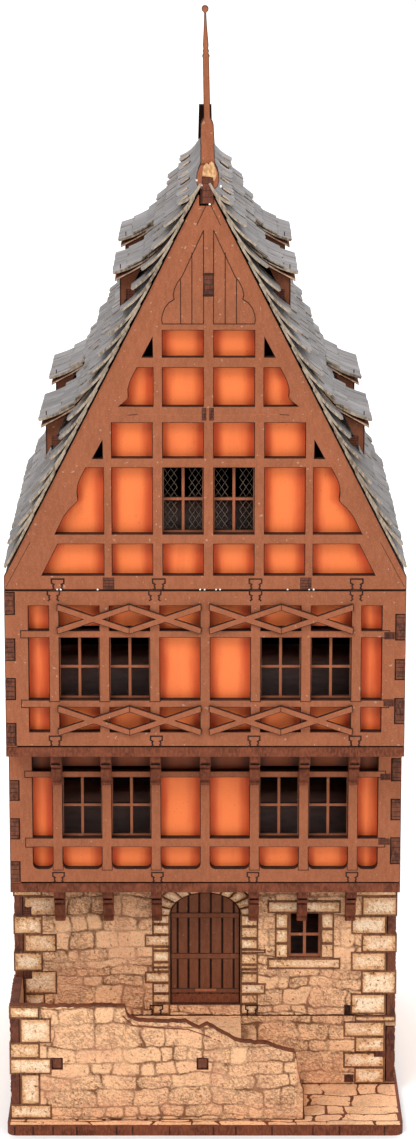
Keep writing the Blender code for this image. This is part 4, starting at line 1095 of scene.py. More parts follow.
# --- ground floor, door and terrace ----------------------------------------
DOOR_HALF = 11.5
DOOR_LOW = GROUND_Z + 3.5
DOOR_SPRING = GROUND_Z + 34.0
DOOR_RISE = 7.6
ARCH_HALF, ARCH_RISE = 16.9, 12.0    # outer edge of the arch stones
PANE_LOW, PANE_HIGH = 47.0, 61.9     # window openings of the ground floor
QUOIN_ROWS = [27.6, 34.5, 42.3, 48.7, 54.8, 61.0, 67.6, 73.2]


def arch(half, sill, spring, rise, centre=0.0, steps=24):
    """Doorway outline: upright sides and a half ellipse above."""
    turn = np.linspace(0, math.pi, steps + 1)
    return ([(centre - half, sill), (centre + half, sill)]
            + list(zip(centre + half * np.cos(turn), spring + rise * np.sin(turn))))


def quoins(shell, axes, origin, side, rows, seed, wide, narrow, teeth):
    """Dressed corner stones, long and short in turn; where a finger of the next wall comes
    through, the stone stops short of it."""
    for k, (z0, z1) in enumerate(zip(rows[:-1], rows[1:])):
        reach = wide if k % 2 else narrow
        toothed = any(a < (z0 + z1) / 2 < b for a, b in teeth)
        near = 3.5 if toothed else 0.15
        u0, u1 = sorted((side * (HALF - near), side * (HALF - (reach if not toothed else reach + 0.6))))
        ashlar(shell, u0, z0 + 0.12, u1, z1 - 0.12, 0.35, axes, origin, seed + k)


def arch_stones(shell, axes, origin, centre, seed, count=11):
    """Stones over a doorway: wedges between two half ellipses at even angles, cut off under
    the top of the wall."""
    for k in range(count):
        a0, a1 = math.pi * k / count + 0.015, math.pi * (k + 1) / count - 0.015
        corners = [(centre + r * math.cos(a), min(DOOR_SPRING + h * math.sin(a), GROUND_TOP - 0.2))
                   for r, h, a in ((DOOR_HALF, DOOR_RISE, a0), (ARCH_HALF, ARCH_RISE, a0),
                                   (ARCH_HALF, ARCH_RISE, a1), (DOOR_HALF, DOOR_RISE, a1))]
        ashlar(shell, 0, 0, 5.0, 4.6, 0.25, axes, origin, seed + k, 0.55, corners)


def build_ground():
    """Stone ground floor. Each wall is a board sunk under carved stone that fills the rectangles
    between its openings; dressed stones stand at the corners, round the windows and doorways."""
    top = GROUND_TOP
    near = FRONT_0
    left = [(27.2, 42.4), (48.7, 54.9), (61.1, 67.7)]
    right = [(27.2, 34.4), (42.3, 48.7), (54.8, 60.9)]
    board, face, dress, sash = Shell(), Shell(), Shell(), Shell()
    door = arch(DOOR_HALF, DOOR_LOW, DOOR_SPRING, DOOR_RISE)
    pane = rect(26.8, PANE_LOW, 37.2, PANE_HIGH)
    hole = rect(45.1, GROUND_Z + 0.3, 48.3, GROUND_Z + 3.2)
    cut_board(board, [edge_ring(GROUND_Z, top, left, right), door, pane, hole], 0.42, BOARD, FRONT,
              (0, near, 0),
              0.15, (0, 1, 2))
    o = (0, near, 0)
    low = GROUND_Z + 0.15
    inner_left, inner_right = -HALF + 3.5, HALF - 3.5
    stone_face(face, inner_left, -ARCH_HALF, low, top, FINE, RELIEF, FRONT, o, 11)
    ring = lambda u: DOOR_SPRING + ARCH_RISE * np.sqrt(np.clip(1 - (u / ARCH_HALF) ** 2, 0, 1))
    stone_face(face, -ARCH_HALF, ARCH_HALF, lambda u: np.minimum(ring(u), top - 0.4), top, FINE, RELIEF,
               FRONT, o, 11)
    stone_face(face, -DOOR_HALF - 0.2, DOOR_HALF + 0.2, low, DOOR_LOW - 0.1, 0.3, 0.3, FRONT, o, 17,
               course=2.4)
    for u0, u1, v0, v1 in ((ARCH_HALF, 26.6, low, top), (26.6, 37.4, low, 43.2), (26.6, 37.4, 66.0, top),
                           (37.4, 44.9, low, top), (44.9, 48.5, low + 3.3, top),
                           (48.5, inner_right, low, top)):
        stone_face(face, u0, u1, v0, v1, FINE, RELIEF, FRONT, o, 11)
    quoins(dress, FRONT, o, -1, QUOIN_ROWS, 31, 13.1, 9.2, left)
    quoins(dress, FRONT, o, 1, QUOIN_ROWS, 51, 11.2, 13.9, right)
    for sign, rows in ((-1, (27.5, 31.3, 34.6, 38.2, 42.0, 43.5, 45.3, 49.2, 50.6, 54.6, 58.2, 61.4)),
                       (1, (27.5, 31.0, 34.4, 38.0, 41.6, 42.9, 44.4, 48.4, 49.6, 53.4, 57.4, 61.4))):
        for k, (z0, z1) in enumerate(zip(rows[:-1], rows[1:])):
            reach = 5.4 if (k * 7 + sign) % 5 else 7.8
            u0, u1 = sorted((sign * DOOR_HALF, sign * (DOOR_HALF + reach)))
            ashlar(dress, u0, z0 + 0.1, u1, z1 - 0.1, 0.3, FRONT, o, 71 + k + sign)
    arch_stones(dress, FRONT, o, 0.0, 90)
    ashlar(dress, 20.2, 62.1, 43.4, 66.0, 0.25, FRONT, o, 120)
    ashlar(dress, 20.2, 43.2, 43.4, 46.5, 0.2, FRONT, o, 121)
    for k, (z0, z1) in enumerate(((46.7, 51.7), (51.7, 56.6), (56.6, 62.0))):
        ashlar(dress, 22.6, z0 + 0.1, 26.7, z1 - 0.1, 0.3, FRONT, o, 122 + k)
        ashlar(dress, 37.3, z0 + 0.1, 41.3, z1 - 0.1, 0.3, FRONT, o, 126 + k)
    window(sash, 27.3, 36.7, 47.4, 61.6, 0.9, FRONT, o, 1.15, 1.6)
    tenon(sash, 45.3, 48.1, GROUND_Z + 0.5, GROUND_Z + 3.0, 0.5, FRONT, o, 1)
    for z0, z1, u in ((61.1, 64.1, -57.0), (39.6, 42.4, -57.0)):
        tenon(sash, -HALF + 3.0, u + 1.2, z0, z1, -0.2, FRONT, o, 3)
    for u0, u1 in ((-17.8, -13.8), (13.1, 16.9)):
        key(sash, u0, u1, GROUND_Z + 0.1, GROUND_Z + 3.4, -0.35, FRONT, o, 0.4)
    for side, axes, x, fingers in (("right", RIGHT, HALF, right), ("left", LEFT, -HALF, left)):
        start, end = (near, BACK) if side == "right" else (-BACK, -near)
        spans, panes = side_columns(start, end)
        windows = [rect(spans[k][0], PANE_LOW, spans[k][1], PANE_HIGH) for k in panes]
        wall = Shell()
        cut_board(wall, [side_ring(start, end, GROUND_Z, top, fingers)] + windows, SUNK, BOARD, axes,
                  (x, 0, 0),
                  0.15, (0, 1, 2))
        stops = [start + 3.4]
        for k in panes:
            stops += [spans[k][0], spans[k][1]]
        stops.append(end - 3.4)
        for k, (u0, u1) in enumerate(zip(stops[:-1], stops[1:])):
            if k % 2:
                stone_face(wall, u0, u1, low, PANE_LOW, COARSE, RELIEF, axes, (x, 0, 0), 13)
                stone_face(wall, u0, u1, PANE_HIGH, top, COARSE, RELIEF, axes, (x, 0, 0), 13)
                window(sash, u0, u1, 47.2, 61.7, 0.9, axes, (x, 0, 0), 1.15, 1.6)
                ashlar(dress, u0 - 4.6, 62.0, u1 + 4.6, 66.2, 0.25, axes, (x, 0, 0), 140 + k)
                ashlar(dress, u0 - 4.6, 43.3, u1 + 4.6, 46.9, 0.2, axes, (x, 0, 0), 150 + k)
                for j, z in enumerate((46.9, 51.9, 56.9)):
                    ashlar(dress, u0 - 4.2, z + 0.1, u0 - 0.1, z + 4.9, 0.3, axes, (x, 0, 0), 160 + j)
                    ashlar(dress, u1 + 0.1, z + 0.1, u1 + 4.2, z + 4.9, 0.3, axes, (x, 0, 0), 165 + j)
            else:
                stone_face(wall, u0, u1, low, top, COARSE, RELIEF, axes, (x, 0, 0), 13)
        wall.piece("ground_%s_stone" % side, "ground_floor", "stone_cut_board",
                   ["stone", "end_face", "inner_painted_shade"],
                   ("ground_%s_wall" % side,))
    rear = Shell()
    o = (0, BACK, 0)
    centre = 25.0
    door = arch(DOOR_HALF, DOOR_LOW, DOOR_SPRING, DOOR_RISE, centre)
    pane = rect(-32.4, PANE_LOW, -20.0, PANE_HIGH)
    cut_board(rear, [edge_ring(GROUND_Z, top, right, left), door, pane], SUNK, BOARD, REAR, o, 0.15,
              (0, 1, 2))
    stone_face(rear, inner_left, -32.4, low, top, COARSE, RELIEF, REAR, o, 14)
    stone_face(rear, -32.4, -20.0, low, PANE_LOW, COARSE, RELIEF, REAR, o, 14)
    stone_face(rear, -32.4, -20.0, PANE_HIGH, top, COARSE, RELIEF, REAR, o, 14)
    stone_face(rear, -20.0, centre - ARCH_HALF, low, top, COARSE, RELIEF, REAR, o, 14)
    over = lambda u: np.minimum(ring(u - centre), top - 0.4)
    stone_face(rear, centre - ARCH_HALF, centre + ARCH_HALF, over, top, COARSE, RELIEF, REAR, o, 14)
    stone_face(rear, centre - 11.6, centre + 11.6, low, DOOR_LOW - 0.1, COARSE, RELIEF, REAR, o, 14,
               course=2.4)
    stone_face(rear, centre + ARCH_HALF, inner_right, low, top, COARSE, RELIEF, REAR, o, 14)
    quoins(dress, REAR, o, -1, QUOIN_ROWS, 201, 13.1, 9.2, right)
    quoins(dress, REAR, o, 1, QUOIN_ROWS, 221, 11.2, 13.9, left)
    for sign in (-1, 1):
        for k in range(8):
            z0, z1 = 27.5 + 4.24 * k, 27.5 + 4.24 * (k + 1)
            reach = 5.4 if k % 2 else 7.6
            u0, u1 = sorted((centre + sign * DOOR_HALF, centre + sign * (DOOR_HALF + reach)))
            ashlar(dress, u0, z0 + 0.1, u1, z1 - 0.1, 0.3, REAR, o, 240 + k)
    arch_stones(dress, REAR, o, centre, 260)
    window(sash, -32.4, -20.0, 47.2, 61.7, 0.9, REAR, o, 1.15, 1.6)
    ashlar(dress, -37.0, 62.0, -15.4, 66.2, 0.25, REAR, o, 281)
    ashlar(dress, -37.0, 43.3, -15.4, 46.9, 0.2, REAR, o, 282)
    board.piece("ground_front_board", "ground_floor", "stone_cut_board", ["mortar", "burnt_end", "inner_painted_shade"],
                ("ground_front_wall",))
    face.piece("ground_front_relief", "ground_floor", "stone_cut_board", ["stone", "burnt"])
    dress.piece("ground_dressed_stones", "ground_floor", "stone_cut_board", ["ashlar", "mortar"])
    rear.piece("ground_back_stone", "ground_floor", "stone_cut_board", ["stone", "burnt_end", "inner_painted_shade"],
               ("ground_back_wall",))
    sash.piece("ground_windows", "ground_floor", "timber_board", ["timber", "burnt", "inner_painted_shade", "burnt_end"],
               ("ground_window_frame",))


def build_door():
    """Plank door: upright planks whose heads follow the half ellipse of the arch, three battens, a dark
    threshold board across the foot of the planks, a painted shade of the doorway floor, and a pale strip on
    the lowest batten, a painted highlight where light falls on it."""
    shell = Shell()
    y = FRONT_0
    rise, half = DOOR_RISE - 0.3, DOOR_HALF - 0.3
    joints = [-half, -8.9, -5.4, -1.9, 1.8, 5.5, 9.2, half]
    head = lambda u: DOOR_SPRING + rise * np.sqrt(np.clip(1 - (np.asarray(u) / half) ** 2, 0, 1))
    low = DOOR_LOW + 0.3
    for u0, u1 in zip(joints[:-1], joints[1:]):
        a, b = u0 + 0.12, u1 - 0.12
        us = np.linspace(b, a, 7)
        ring = [(a, low), (b, low)] + list(zip(us, head(us)))
        cut_board(shell, [ring], 1.05, 2.6, FRONT, (0, y, 0), 0.25, (0, 1, 1))
    cut_board(shell, [arch(half - 0.3, low + 0.2, DOOR_SPRING, rise - 0.3)], 1.6, 2.7, FRONT, (0, y, 0), 0.1,
              (1, 1, 2))
    for z0, z1 in ((60.0, 61.7), (46.1, 48.0), (34.5, 36.0)):
        cut_board(shell, [rect(-half + 0.15, z0, half - 0.15, z1)], 0.75, 1.3, FRONT, (0, y, 0), 0.15,
                  (0, 1, 1))
    # Pale strip on the lowest batten: a painted highlight where light falls on its top.
    cut_board(shell, [rect(-3.2, 35.0, 3.6, 35.9)], 0.7, 0.9, FRONT, (0, y, 0), 0.08, (3, 3, 3))
    # Dark board across the foot of the planks: painted shade of the recessed doorway floor.
    cut_board(shell, [rect(-half + 0.1, low, half - 0.1, 34.2)], 0.95, 1.3, FRONT, (0, y, 0), 0.15, (4, 1, 1))
    shell.piece("door_planks", "door", "plank_board",
                ["plank", "burnt", "inner_painted_shade", "timber_pale", "plate_edge"],
                ("door_leaf",))


RAGGED = [(-61.7, 14.4), (-25.3, 14.4), (-25.2, 13.4), (-24.5, 10.9), (-21.2, 9.6), (-6.1, 9.1), (-2.0, 6.9),
          (0.6, 8.3), (7.2, 4.7), (10.6, 2.5), (19.0, 2.0), (23.1, 0.3), (28.0, -0.8), (28.8, -2.4),
          (29.9, -10.4),
          (31.2, -14.0)]


def build_base():
    """Paved base, broken terrace wall, terrace floor and basement walls. The broken top is a bent
    line over the terrace floor plus a fine noise along the wall."""
    front = BOX["terrace_front_wall"][0][1]
    low = BASE_TOP + 0.3
    deck = BOX["terrace_floor"][1][2]
    ragged = np.array(RAGGED)
    rough_top = lambda u: (deck + np.interp(u, ragged[:, 0], ragged[:, 1])
                           + 0.25 * wobble(np.asarray(u, float), np.zeros(np.size(u)), 1.3, 5))
    wall, face, dress = Shell(), Shell(), Shell()
    us = np.concatenate([np.linspace(-61.7, -25.4, 60), np.linspace(-25.3, 31.2, 110)])
    rim = list(zip(us, rough_top(us)))
    teeth = [(low + 4.6, deck - 8.3), (deck + 2.1, deck + 10.1)]
    edge = comb(-HALF, BOARD + FIT, low, rough_top(-HALF).item(), [(a - FIT, b + FIT) for a, b in teeth])
    holes = [rect(u - 1.75, 20.2, u + 1.75, 24.0) for u in (-46.8, -0.85)]
    cut_board(wall, [[(31.2, low)] + rim[::-1] + edge[::-1][1:]] + holes, SUNK, BOARD, FRONT, (0, front, 0),
              0.15,
              (0, 1, 0))
    o = (0, front, 0)
    below = lambda u: rough_top(u) - 0.35
    stops = [-58.3, -48.7, -44.9, -2.75, 1.05, 28.4]
    for k, (u0, u1) in enumerate(zip(stops[:-1], stops[1:])):
        if k in (1, 3):
            stone_face(face, u0, u1, low, 20.1, FINE, RELIEF, FRONT, o, 23, course=5.4, length=9.5)
            stone_face(face, u0, u1, 24.1, below, FINE, RELIEF, FRONT, o, 23, course=5.4, length=9.5)
        else:
            stone_face(face, u0, u1, low, below, FINE, RELIEF, FRONT, o, 23, course=5.4, length=9.5)
    stone_face(face, 28.4, 30.9, low, lambda u: np.minimum(below(u), 24.0), FINE, RELIEF, FRONT, o, 23,
               course=6.6)
    rows = [3.7, 8.4, 18.7, 24.0, 29.1, 37.3, 41.2]
    for k, (z0, z1) in enumerate(zip(rows[:-1], rows[1:])):
        toothed = any(a < (z0 + z1) / 2 < b for a, b in teeth)
        near = 3.5 if toothed else 0.15
        ashlar(dress, -HALF + near, z0 + 0.1, -HALF + (9.4 if k % 2 else 13.0), z1 - 0.1, 0.35, FRONT, o,
               300 + k)
    for u in (-46.8, -0.85):
        tenon(wall, u - 1.5, u + 1.5, 20.5, 23.7, 0.5, FRONT, o, 3)
    cracks = Shell()
    crack = [(-26.0, deck + 12.0), (-22.6, deck + 8.8), (-14.0, deck + 8.0), (-5.5, deck + 7.6),
             (0.0, deck + 5.6),
             (6.0, deck + 3.0)]
    score(cracks, [(u, v - 0.9) for u, v in crack], 0.3, 0.1, FRONT, o, proud=0.15, finish=0)
    cracks.piece("terrace_cracks", "base", "scorched_board", ["plate_edge", "burnt"])
    left = Shell()
    x = -HALF
    start, end = -FRONT_0, -front
    cut_board(left, [side_ring(start, end, low, deck + 14.4, teeth)], SUNK, BOARD, LEFT, (x, 0, 0), 0.15,
              (0, 1, 0))
    stone_face(left, start + 0.3, end - 3.4, low, deck + 14.2, COARSE, RELIEF, LEFT, (x, 0, 0), 29)
    left.piece("terrace_left_stone", "base", "stone_cut_board", ["stone", "burnt_end"],
               ("terrace_left_wall",))
    wall.piece("terrace_front_board", "base", "stone_cut_board",
               ["mortar", "plate_edge", "burnt", "end_face"],
               ("terrace_front_wall",))
    top = GROUND_Z - 0.3
    o = (0, FRONT_0, 0)
    finger = [(4.4, 23.1)]
    base_rows = [3.8, 9.2, 14.4, 19.8, 25.0, 26.9]
    cellar = Shell()
    cut_board(cellar, [edge_ring(low, top, finger, finger)], SUNK, BOARD, FRONT, o, 0.15, (0, 1, 2))
    stone_face(cellar, 11.4, HALF - 3.5, low, top, FINE, RELIEF, FRONT, o, 37, course=6.0)
    for k, (z0, z1) in enumerate(zip(base_rows[:-1], base_rows[1:])):
        ashlar(dress, 45.0 if k % 2 else 48.6, z0 + 0.1, HALF - (3.6 if z0 < 20 else 0.2), z1 - 0.1, 0.3,
               FRONT, o,
               320 + k)
    tenon(cellar, 45.2, 48.2, 4.2, 6.8, -0.15, FRONT, o, 1)
    tenon(cellar, 54.6, HALF - 3.1, 12.8, 15.0, -0.2, FRONT, o, 1)
    for side, axes, x in (("right", RIGHT, HALF), ("left", LEFT, -HALF)):
        start, end = (FRONT_0, BACK) if side == "right" else (-BACK, -FRONT_0)
        cut_board(cellar, [side_ring(start, end, low, top, finger)], SUNK, BOARD, axes, (x, 0, 0), 0.15,
                  (0, 1, 2))
        stone_face(cellar, start + 3.4, end - 3.4, low, top, COARSE, RELIEF, axes, (x, 0, 0), 41, course=6.0)
    o = (0, BACK, 0)
    vault = arch(9.0, low + 2.0, top - 14.9, 6.0)
    cut_board(cellar, [edge_ring(low, top, finger, finger), vault], SUNK, BOARD, REAR, o, 0.15, (0, 1, 2))
    lid = lambda u: top - 14.9 + 6.0 * np.sqrt(np.clip(1 - (u / 9.0) ** 2, 0, 1)) + 0.1
    stone_face(cellar, -HALF + 3.5, -9.0, low, top, COARSE, RELIEF, REAR, o, 43, course=6.0)
    stone_face(cellar, -9.0, 9.0, lid, top, COARSE, RELIEF, REAR, o, 43, course=6.0)
    stone_face(cellar, 9.0, HALF - 3.5, low, top, COARSE, RELIEF, REAR, o, 43, course=6.0)
    for sign in (-1, 1):
        for k, (z0, z1) in enumerate(zip(base_rows[:-1], base_rows[1:])):
            u0, u1 = sorted((sign * (48.0 if k % 2 else 52.0), sign * (HALF - (3.6 if z0 < 20 else 0.2))))
            ashlar(dress, u0, z0 + 0.1, u1, z1 - 0.1, 0.3, REAR, o, 340 + k)
    cellar.piece("basement_walls_stone", "base", "stone_cut_board", ["stone", "burnt_end", "inner_painted_shade"],
                 ("basement_front_wall", "basement_left_wall", "basement_right_wall", "basement_back_wall"))
    paving = Shell()
    plate = BOX["base_plate"]
    o = (0, 0, BASE_TOP)
    kind = {"course": 7.0, "length": 12.0, "carving": 0.12}
    stone_face(paving, plate[0][0] + 1.0, plate[1][0] - 1.0, plate[0][1] + 0.6, front - 0.2, 0.34, 0.25, FLAT,
               o, 47,
               **kind)
    stone_face(paving, 31.6, plate[1][0] - 1.0, front - 0.2, FRONT_0 - 0.2, 0.34, 0.25, FLAT, o, 47, **kind)
    stone_face(paving, plate[0][0] + 1.0, plate[1][0] - 1.0, BACK + 0.2, plate[1][1] - 0.6, 0.34, 0.25, FLAT,
               o, 49,
               **kind)
    floor = BOX["terrace_floor"]
    stone_face(paving, floor[0][0] + 0.2, floor[1][0] - 0.2, floor[0][1] + 0.2, floor[1][1] - 0.2, 0.4, 0.25,
               FLAT,
               (0, 0, floor[1][2]), 53, **kind)
    paving.piece("paving", "base", "stone_cut_board", ["stone", "timber_dark"])
    face.piece("terrace_front_relief", "base", "stone_cut_board", ["stone", "burnt"])
    dress.piece("base_dressed_stones", "base", "stone_cut_board", ["ashlar", "mortar"])
    marks = Shell()
    o = (0, plate[0][1], 0)
    for u in (-60.1, -54.3, -48.0, -40.5, -27.9, -22.9, -11.2, 2.6, 9.7, 21.1, 34.0, 42.4, 56.6):
        score(marks, [(u, 0.2), (u, BASE_TOP - 0.2)], 0.5, 0.0, FRONT, o, proud=0.004)
    marks.piece("base_edge_joints", "base", "scorched_board", ["burnt_end", "burnt"])


# --- finial ---------------------------------------------------------------
def build_finial():
    """Finial: an outline mirrored about a line that leans in proportion to the height, ending in
    a circle, with a bulge, a tenon and a chip at its foot."""
    lo, hi = BOX["finial_front"]
    foot, top = lo[2], hi[2]
    right = [(2.0, foot), (3.3, foot), (2.9, foot + 2.0), (2.15, foot + 3.6), (2.0, foot + 9.0),
             (2.15, foot + 9.4),
             (1.95, foot + 14.8), (1.6, foot + 16.0), (1.0, foot + 16.9), (0.93, top - 15.4),
             (1.12, top - 14.8),
             (0.72, top - 14.0), (0.95, top - 13.4), (0.72, top - 12.8), (0.85, top - 11.6), (0.5, top - 6.6),
             (0.3, top - 2.2)]
    turn = np.radians(np.linspace(-62, 88, 9))
    right += list(zip(1.0 * np.cos(turn), top - 1.0 + 1.0 * np.sin(turn)))
    ring = right + [(-u, v) for u, v in right[::-1]]
    lean = lambda v: 0.85 - 0.9 * (v - foot) / (top - foot)
    shell = Shell()
    cut_board(shell, [[(u + lean(v), v) for u, v in ring]], 0.0, BOARD, FRONT, (0, FRONT_2, 0), 0.2,
              (0, 1, 0))
    c = 0.75
    bulge = [(2.0, foot - 4.2), (3.1, foot - 3.2), (3.45, foot - 1.6), (3.3, foot + 0.6), (2.7, foot + 2.2),
             (2.1, foot + 3.4)]
    cut_board(shell, [[(u + c, v) for u, v in bulge + [(-u, v) for u, v in bulge[::-1]]]], -0.45, 0.4, FRONT,
              (0, FRONT_2, 0), 0.2, (0, 1, 0))
    tenon(shell, c - 1.75, c + 1.75, 293.9, foot - 0.4, -0.5, FRONT, (0, FRONT_2, 0), 2)
    chip = [(c - 1.6, foot - 0.2), (c + 1.0, foot - 0.6), (c + 1.9, foot - 1.9), (c + 2.7, foot - 0.4),
            (c + 2.6, foot + 1.6), (c + 1.9, foot + 3.4), (c + 1.1, foot + 4.3), (c + 0.3, foot + 3.2),
            (c - 0.4, foot + 3.7), (c - 1.5, foot + 2.4)]
    cut_board(shell, [chip], -0.62, 0.3, FRONT, (0, FRONT_2, 0), 0.2, (3, 3, 3))
    for u, v in ((-3.6, foot - 1.8), (3.6, foot - 3.6), (-1.9, foot - 3.2), (-1.6, foot - 5.6),
                 (0.3, foot - 8.9)):
        cut_board(shell, [soft_rect(c + u, v, c + u + 0.6, v + 0.6, 0.22)], -0.6, 0.3, FRONT, (0, FRONT_2, 0),
                  0.08,
                  (4, 4, 4))
    shell.piece("finial", "roof", "timber_board", ["timber", "burnt", "burnt_end", "chip", "glue"],
                ("finial_front",))


# --- frame boards that stay -------------------------------------------------
def dress_frame():
    """Finishes for the boards of the frame, most of which stay in view."""
    kinds = {"base_plate": "plate_edge", "terrace_floor": "stone_plain", "terrace_steps": "stone_plain",
             "ridge_board": "burnt_end", "ground_floor_plate": "plate_edge",
             "first_floor_plate": "plate_edge",
             "second_floor_plate": "plate_edge", "attic_floor_plate": "plate_edge",
             "terrace_rib_1": "burnt_end",
             "terrace_rib_2": "burnt_end"}
    for name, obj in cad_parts.items():
        finish = "timber_dark" if name.startswith("dormer_box") else kinds.get(name, "timber")
        obj.data.materials.clear()
        obj.data.materials.append(MADE[finish])


# --- add-on ---------------------------------------------------------------
CAMERA_PLACE = (0.0, -1.0945, 0.4234)
CAMERA_DROP = 13.2      # degrees below level
CAMERA_SHIFT = 2.8 / 1139.0
FLOOR_REACH = 16.0
MIDDLE = (0, 0, 0.2)


class HouseStageSettings(bpy.types.PropertyGroup):
    """Floor, lights and camera."""
    floor_color: FloatVectorProperty(name="Floor", description="Colour of the pale floor", subtype="COLOR",
                                     default=(0.93, 0.93, 0.93), min=0.0, max=1.0)
    key_power: FloatProperty(name="Key light", description="Power of the large soft light in front",
                             default=24.0, min=0.0)
    backdrop_power: FloatProperty(name="Backdrop light",
                                  description="Power of the light over the floor behind",
                                  default=110.0, min=0.0)
    fill: FloatProperty(name="Fill", description="Strength of the even light all round", default=0.42,
                        min=0.0)
    lens: FloatProperty(name="Lens", description="Focal length of the camera on a 36 mm high frame",
                        default=109.34, min=1.0, subtype="DISTANCE_CAMERA")


def lamp(name, place, aim, size, power):
    """Square soft light that points at a place."""
    data = bpy.data.lights.new(name, "AREA")
    data.shape = "SQUARE"
    data.size = size
    data.energy = power
    obj = bpy.data.objects.new(name, data)
    bpy.context.scene.collection.objects.link(obj)
    obj.location = place
    obj.rotation_euler = (Vector(aim) - Vector(place)).to_track_quat("-Z", "Y").to_euler()


class HOUSE_OT_stage(bpy.types.Operator):
    """Build the floor, the lights and the camera"""
    bl_idname = "house.stage"
    bl_label = "Stage"

    def execute(self, context):
        settings = context.scene.house_stage
        n = Nodes("stage_floor", 0.9, 0.1)
        cloud = n.noise(0.6, 2.0)
        base = n.mix(n.span(cloud, 0.3, 0.7, 0.0, 0.03), tuple(settings.floor_color), (0.9, 0.9, 0.9))
        n.finish(base, 0.9, cloud, 0.02, 0.0001)
        mesh = bpy.data.meshes.new("floor")
        corners = [(x * FLOOR_REACH, y * FLOOR_REACH, 0) for x, y in ((-1, -1), (1, -1), (1, 1), (-1, 1))]
        mesh.from_pydata(corners, [], [(0, 1, 2, 3)])
        mesh.materials.append(n.material)
        floor = bpy.data.objects.new("floor", mesh)
        context.scene.collection.objects.link(floor)
        power = settings.key_power
        lamp("key", (-0.8, -1.25, 1.75), (0, 0, 0.17), 0.8, power)
        lamp("fill", (1.2, -1.3, 0.9), (0, 0, 0.17), 1.0, power * 0.3)
        lamp("top", (0.1, 0.15, 1.9), MIDDLE, 1.2, power * 0.6)
        lamp("back", (0.5, 1.5, 1.3), MIDDLE, 1.2, power * 0.4)
        lamp("backdrop", (0.0, 3.6, 2.3), (0, 3.6, 0), 4.0, settings.backdrop_power)
        world = bpy.data.worlds.new("studio")
        world.use_nodes = True
        context.scene.world = world
        world.node_tree.nodes["Background"].inputs["Color"].default_value = (1, 1, 1, 1)
        world.node_tree.nodes["Background"].inputs["Strength"].default_value = settings.fill
        data = bpy.data.cameras.new("camera")
        data.sensor_fit = "VERTICAL"
        data.sensor_height = 36.0
        data.lens = settings.lens
        data.shift_x = CAMERA_SHIFT
        data.clip_start, data.clip_end = 0.05, 60.0
        camera = bpy.data.objects.new("camera", data)
        context.scene.collection.objects.link(camera)
        camera.location = CAMERA_PLACE
        camera.rotation_euler = (math.radians(90.0 - CAMERA_DROP), 0.0, 0.0)
        context.scene.camera = camera
        context.scene.view_settings.view_transform = "Standard"
        return {"FINISHED"}


class HouseColors(bpy.types.PropertyGroup):
    """Colours of the boards, the paint, the stone and the roof."""
    board: FloatVectorProperty(name="Board", description="Colour of the bare fibre board", subtype="COLOR",
                               default=(0.35, 0.113, 0.051), min=0.0, max=1.0)
    paint: FloatVectorProperty(name="Paint", description="Colour of the painted panels", subtype="COLOR",
                               default=(1.0, 0.225, 0.057), min=0.0, max=1.0)
    stone: FloatVectorProperty(name="Stone", description="Lightest colour of the stone", subtype="COLOR",
                               default=(0.95, 0.555, 0.31), min=0.0, max=1.0)
    slate: FloatVectorProperty(name="Slate", description="Colour of the roof boards", subtype="COLOR",
                               default=(0.2, 0.187, 0.187), min=0.0, max=1.0)


class HouseSizes(bpy.types.PropertyGroup):
    """Sizes of the roof boards."""
    courses: IntProperty(name="Courses", description="Rows of slates on each main slope", default=18, min=4,
                         max=60)
    slate_thick: FloatProperty(name="Slate thickness", description="Thickness of one slate, in millimetres",
                               default=0.75, min=0.1, max=3.0)
    slate_lift: FloatProperty(name="Slate lift",
                              description="Height of a slate's tail over the slope, in millimetres",
                              default=4.1, min=0.0, max=5.0)


class HOUSE_OT_finishes(bpy.types.Operator):
    """Make the finishes and put them on the boards of the frame"""
    bl_idname = "house.finishes"
    bl_label = "Finishes"

    def execute(self, context):
        make_finishes(context.scene.house_colors)
        dress_frame()
        return {"FINISHED"}


class HOUSE_OT_base(bpy.types.Operator):
    """Build the paved base, the terrace and the basement walls"""
    bl_idname = "house.base"
    bl_label = "Base and terrace"

    def execute(self, context):
        build_base()
        return {"FINISHED"}


class HOUSE_OT_ground(bpy.types.Operator):
    """Build the stone ground floor"""
    bl_idname = "house.ground"
    bl_label = "Ground floor"

    def execute(self, context):
        build_ground()
        return {"FINISHED"}


class HOUSE_OT_door(bpy.types.Operator):
    """Build the plank door"""
    bl_idname = "house.door"
    bl_label = "Door"

    def execute(self, context):
        build_door()
        return {"FINISHED"}


class HOUSE_OT_storeys(bpy.types.Operator):
    """Build the two timber storeys"""
    bl_idname = "house.storeys"
    bl_label = "Timber storeys"

    def execute(self, context):
        for name in STOREYS:
            build_storey(name)
        return {"FINISHED"}


class HOUSE_OT_corbels(bpy.types.Operator):
    """Build the corbels under both overhangs"""
    bl_idname = "house.corbels"
    bl_label = "Corbels"

    def execute(self, context):
        build_corbels()
        return {"FINISHED"}


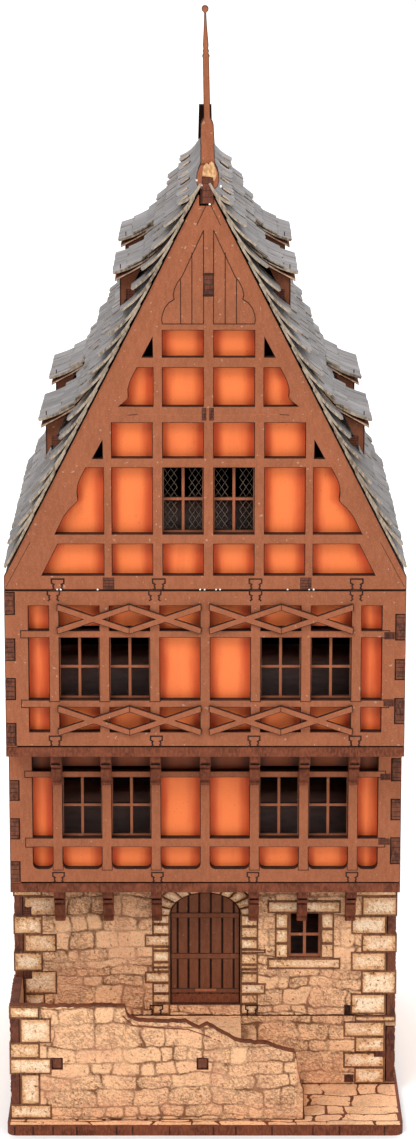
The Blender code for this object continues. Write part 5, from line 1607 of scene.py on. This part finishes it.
class HOUSE_OT_gables(bpy.types.Operator):
    """Build the front and back gables"""
    bl_idname = "house.gables"
    bl_label = "Gables"

    def execute(self, context):
        build_gables()
        return {"FINISHED"}


class HOUSE_OT_roof(bpy.types.Operator):
    """Build the slates, the dormer roofs and their trims"""
    bl_idname = "house.roof"
    bl_label = "Roof"

    def execute(self, context):
        build_roof(context.scene.house_sizes)
        return {"FINISHED"}


class HOUSE_OT_finial(bpy.types.Operator):
    """Build the finial at the top of the front gable"""
    bl_idname = "house.finial"
    bl_label = "Finial"

    def execute(self, context):
        build_finial()
        return {"FINISHED"}


OPERATORS = (HOUSE_OT_finishes, HOUSE_OT_base, HOUSE_OT_ground, HOUSE_OT_door, HOUSE_OT_storeys,
             HOUSE_OT_corbels,
             HOUSE_OT_gables, HOUSE_OT_roof, HOUSE_OT_finial, HOUSE_OT_stage)


class HOUSE_PT_panel(bpy.types.Panel):
    """All steps and settings of the house"""
    bl_idname = "HOUSE_PT_panel"
    bl_label = "Town house"
    bl_space_type = "VIEW_3D"
    bl_region_type = "UI"
    bl_category = "Town house"

    def draw(self, context):
        for group in (context.scene.house_colors, context.scene.house_sizes, context.scene.house_stage):
            box = self.layout.box()
            for key_name in group.__annotations__:
                box.prop(group, key_name)
        for operator in OPERATORS:
            self.layout.operator(operator.bl_idname)


SETTINGS = {"house_colors": HouseColors, "house_sizes": HouseSizes, "house_stage": HouseStageSettings}


def register():
    """Register the classes and hang the settings on the scene."""
    for kind in (*SETTINGS.values(), *OPERATORS, HOUSE_PT_panel):
        bpy.utils.register_class(kind)
    for name, kind in SETTINGS.items():
        setattr(bpy.types.Scene, name, PointerProperty(type=kind))


def unregister():
    """Take the settings and the classes away again."""
    for name in SETTINGS:
        delattr(bpy.types.Scene, name)
    for kind in (HOUSE_PT_panel, *OPERATORS[::-1], *list(SETTINGS.values())[::-1]):
        bpy.utils.unregister_class(kind)


def main():
    """Register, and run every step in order."""
    register()
    for operator in OPERATORS:
        getattr(bpy.ops.house, operator.bl_idname.split(".")[1])()


if __name__ == "__main__":
    main()
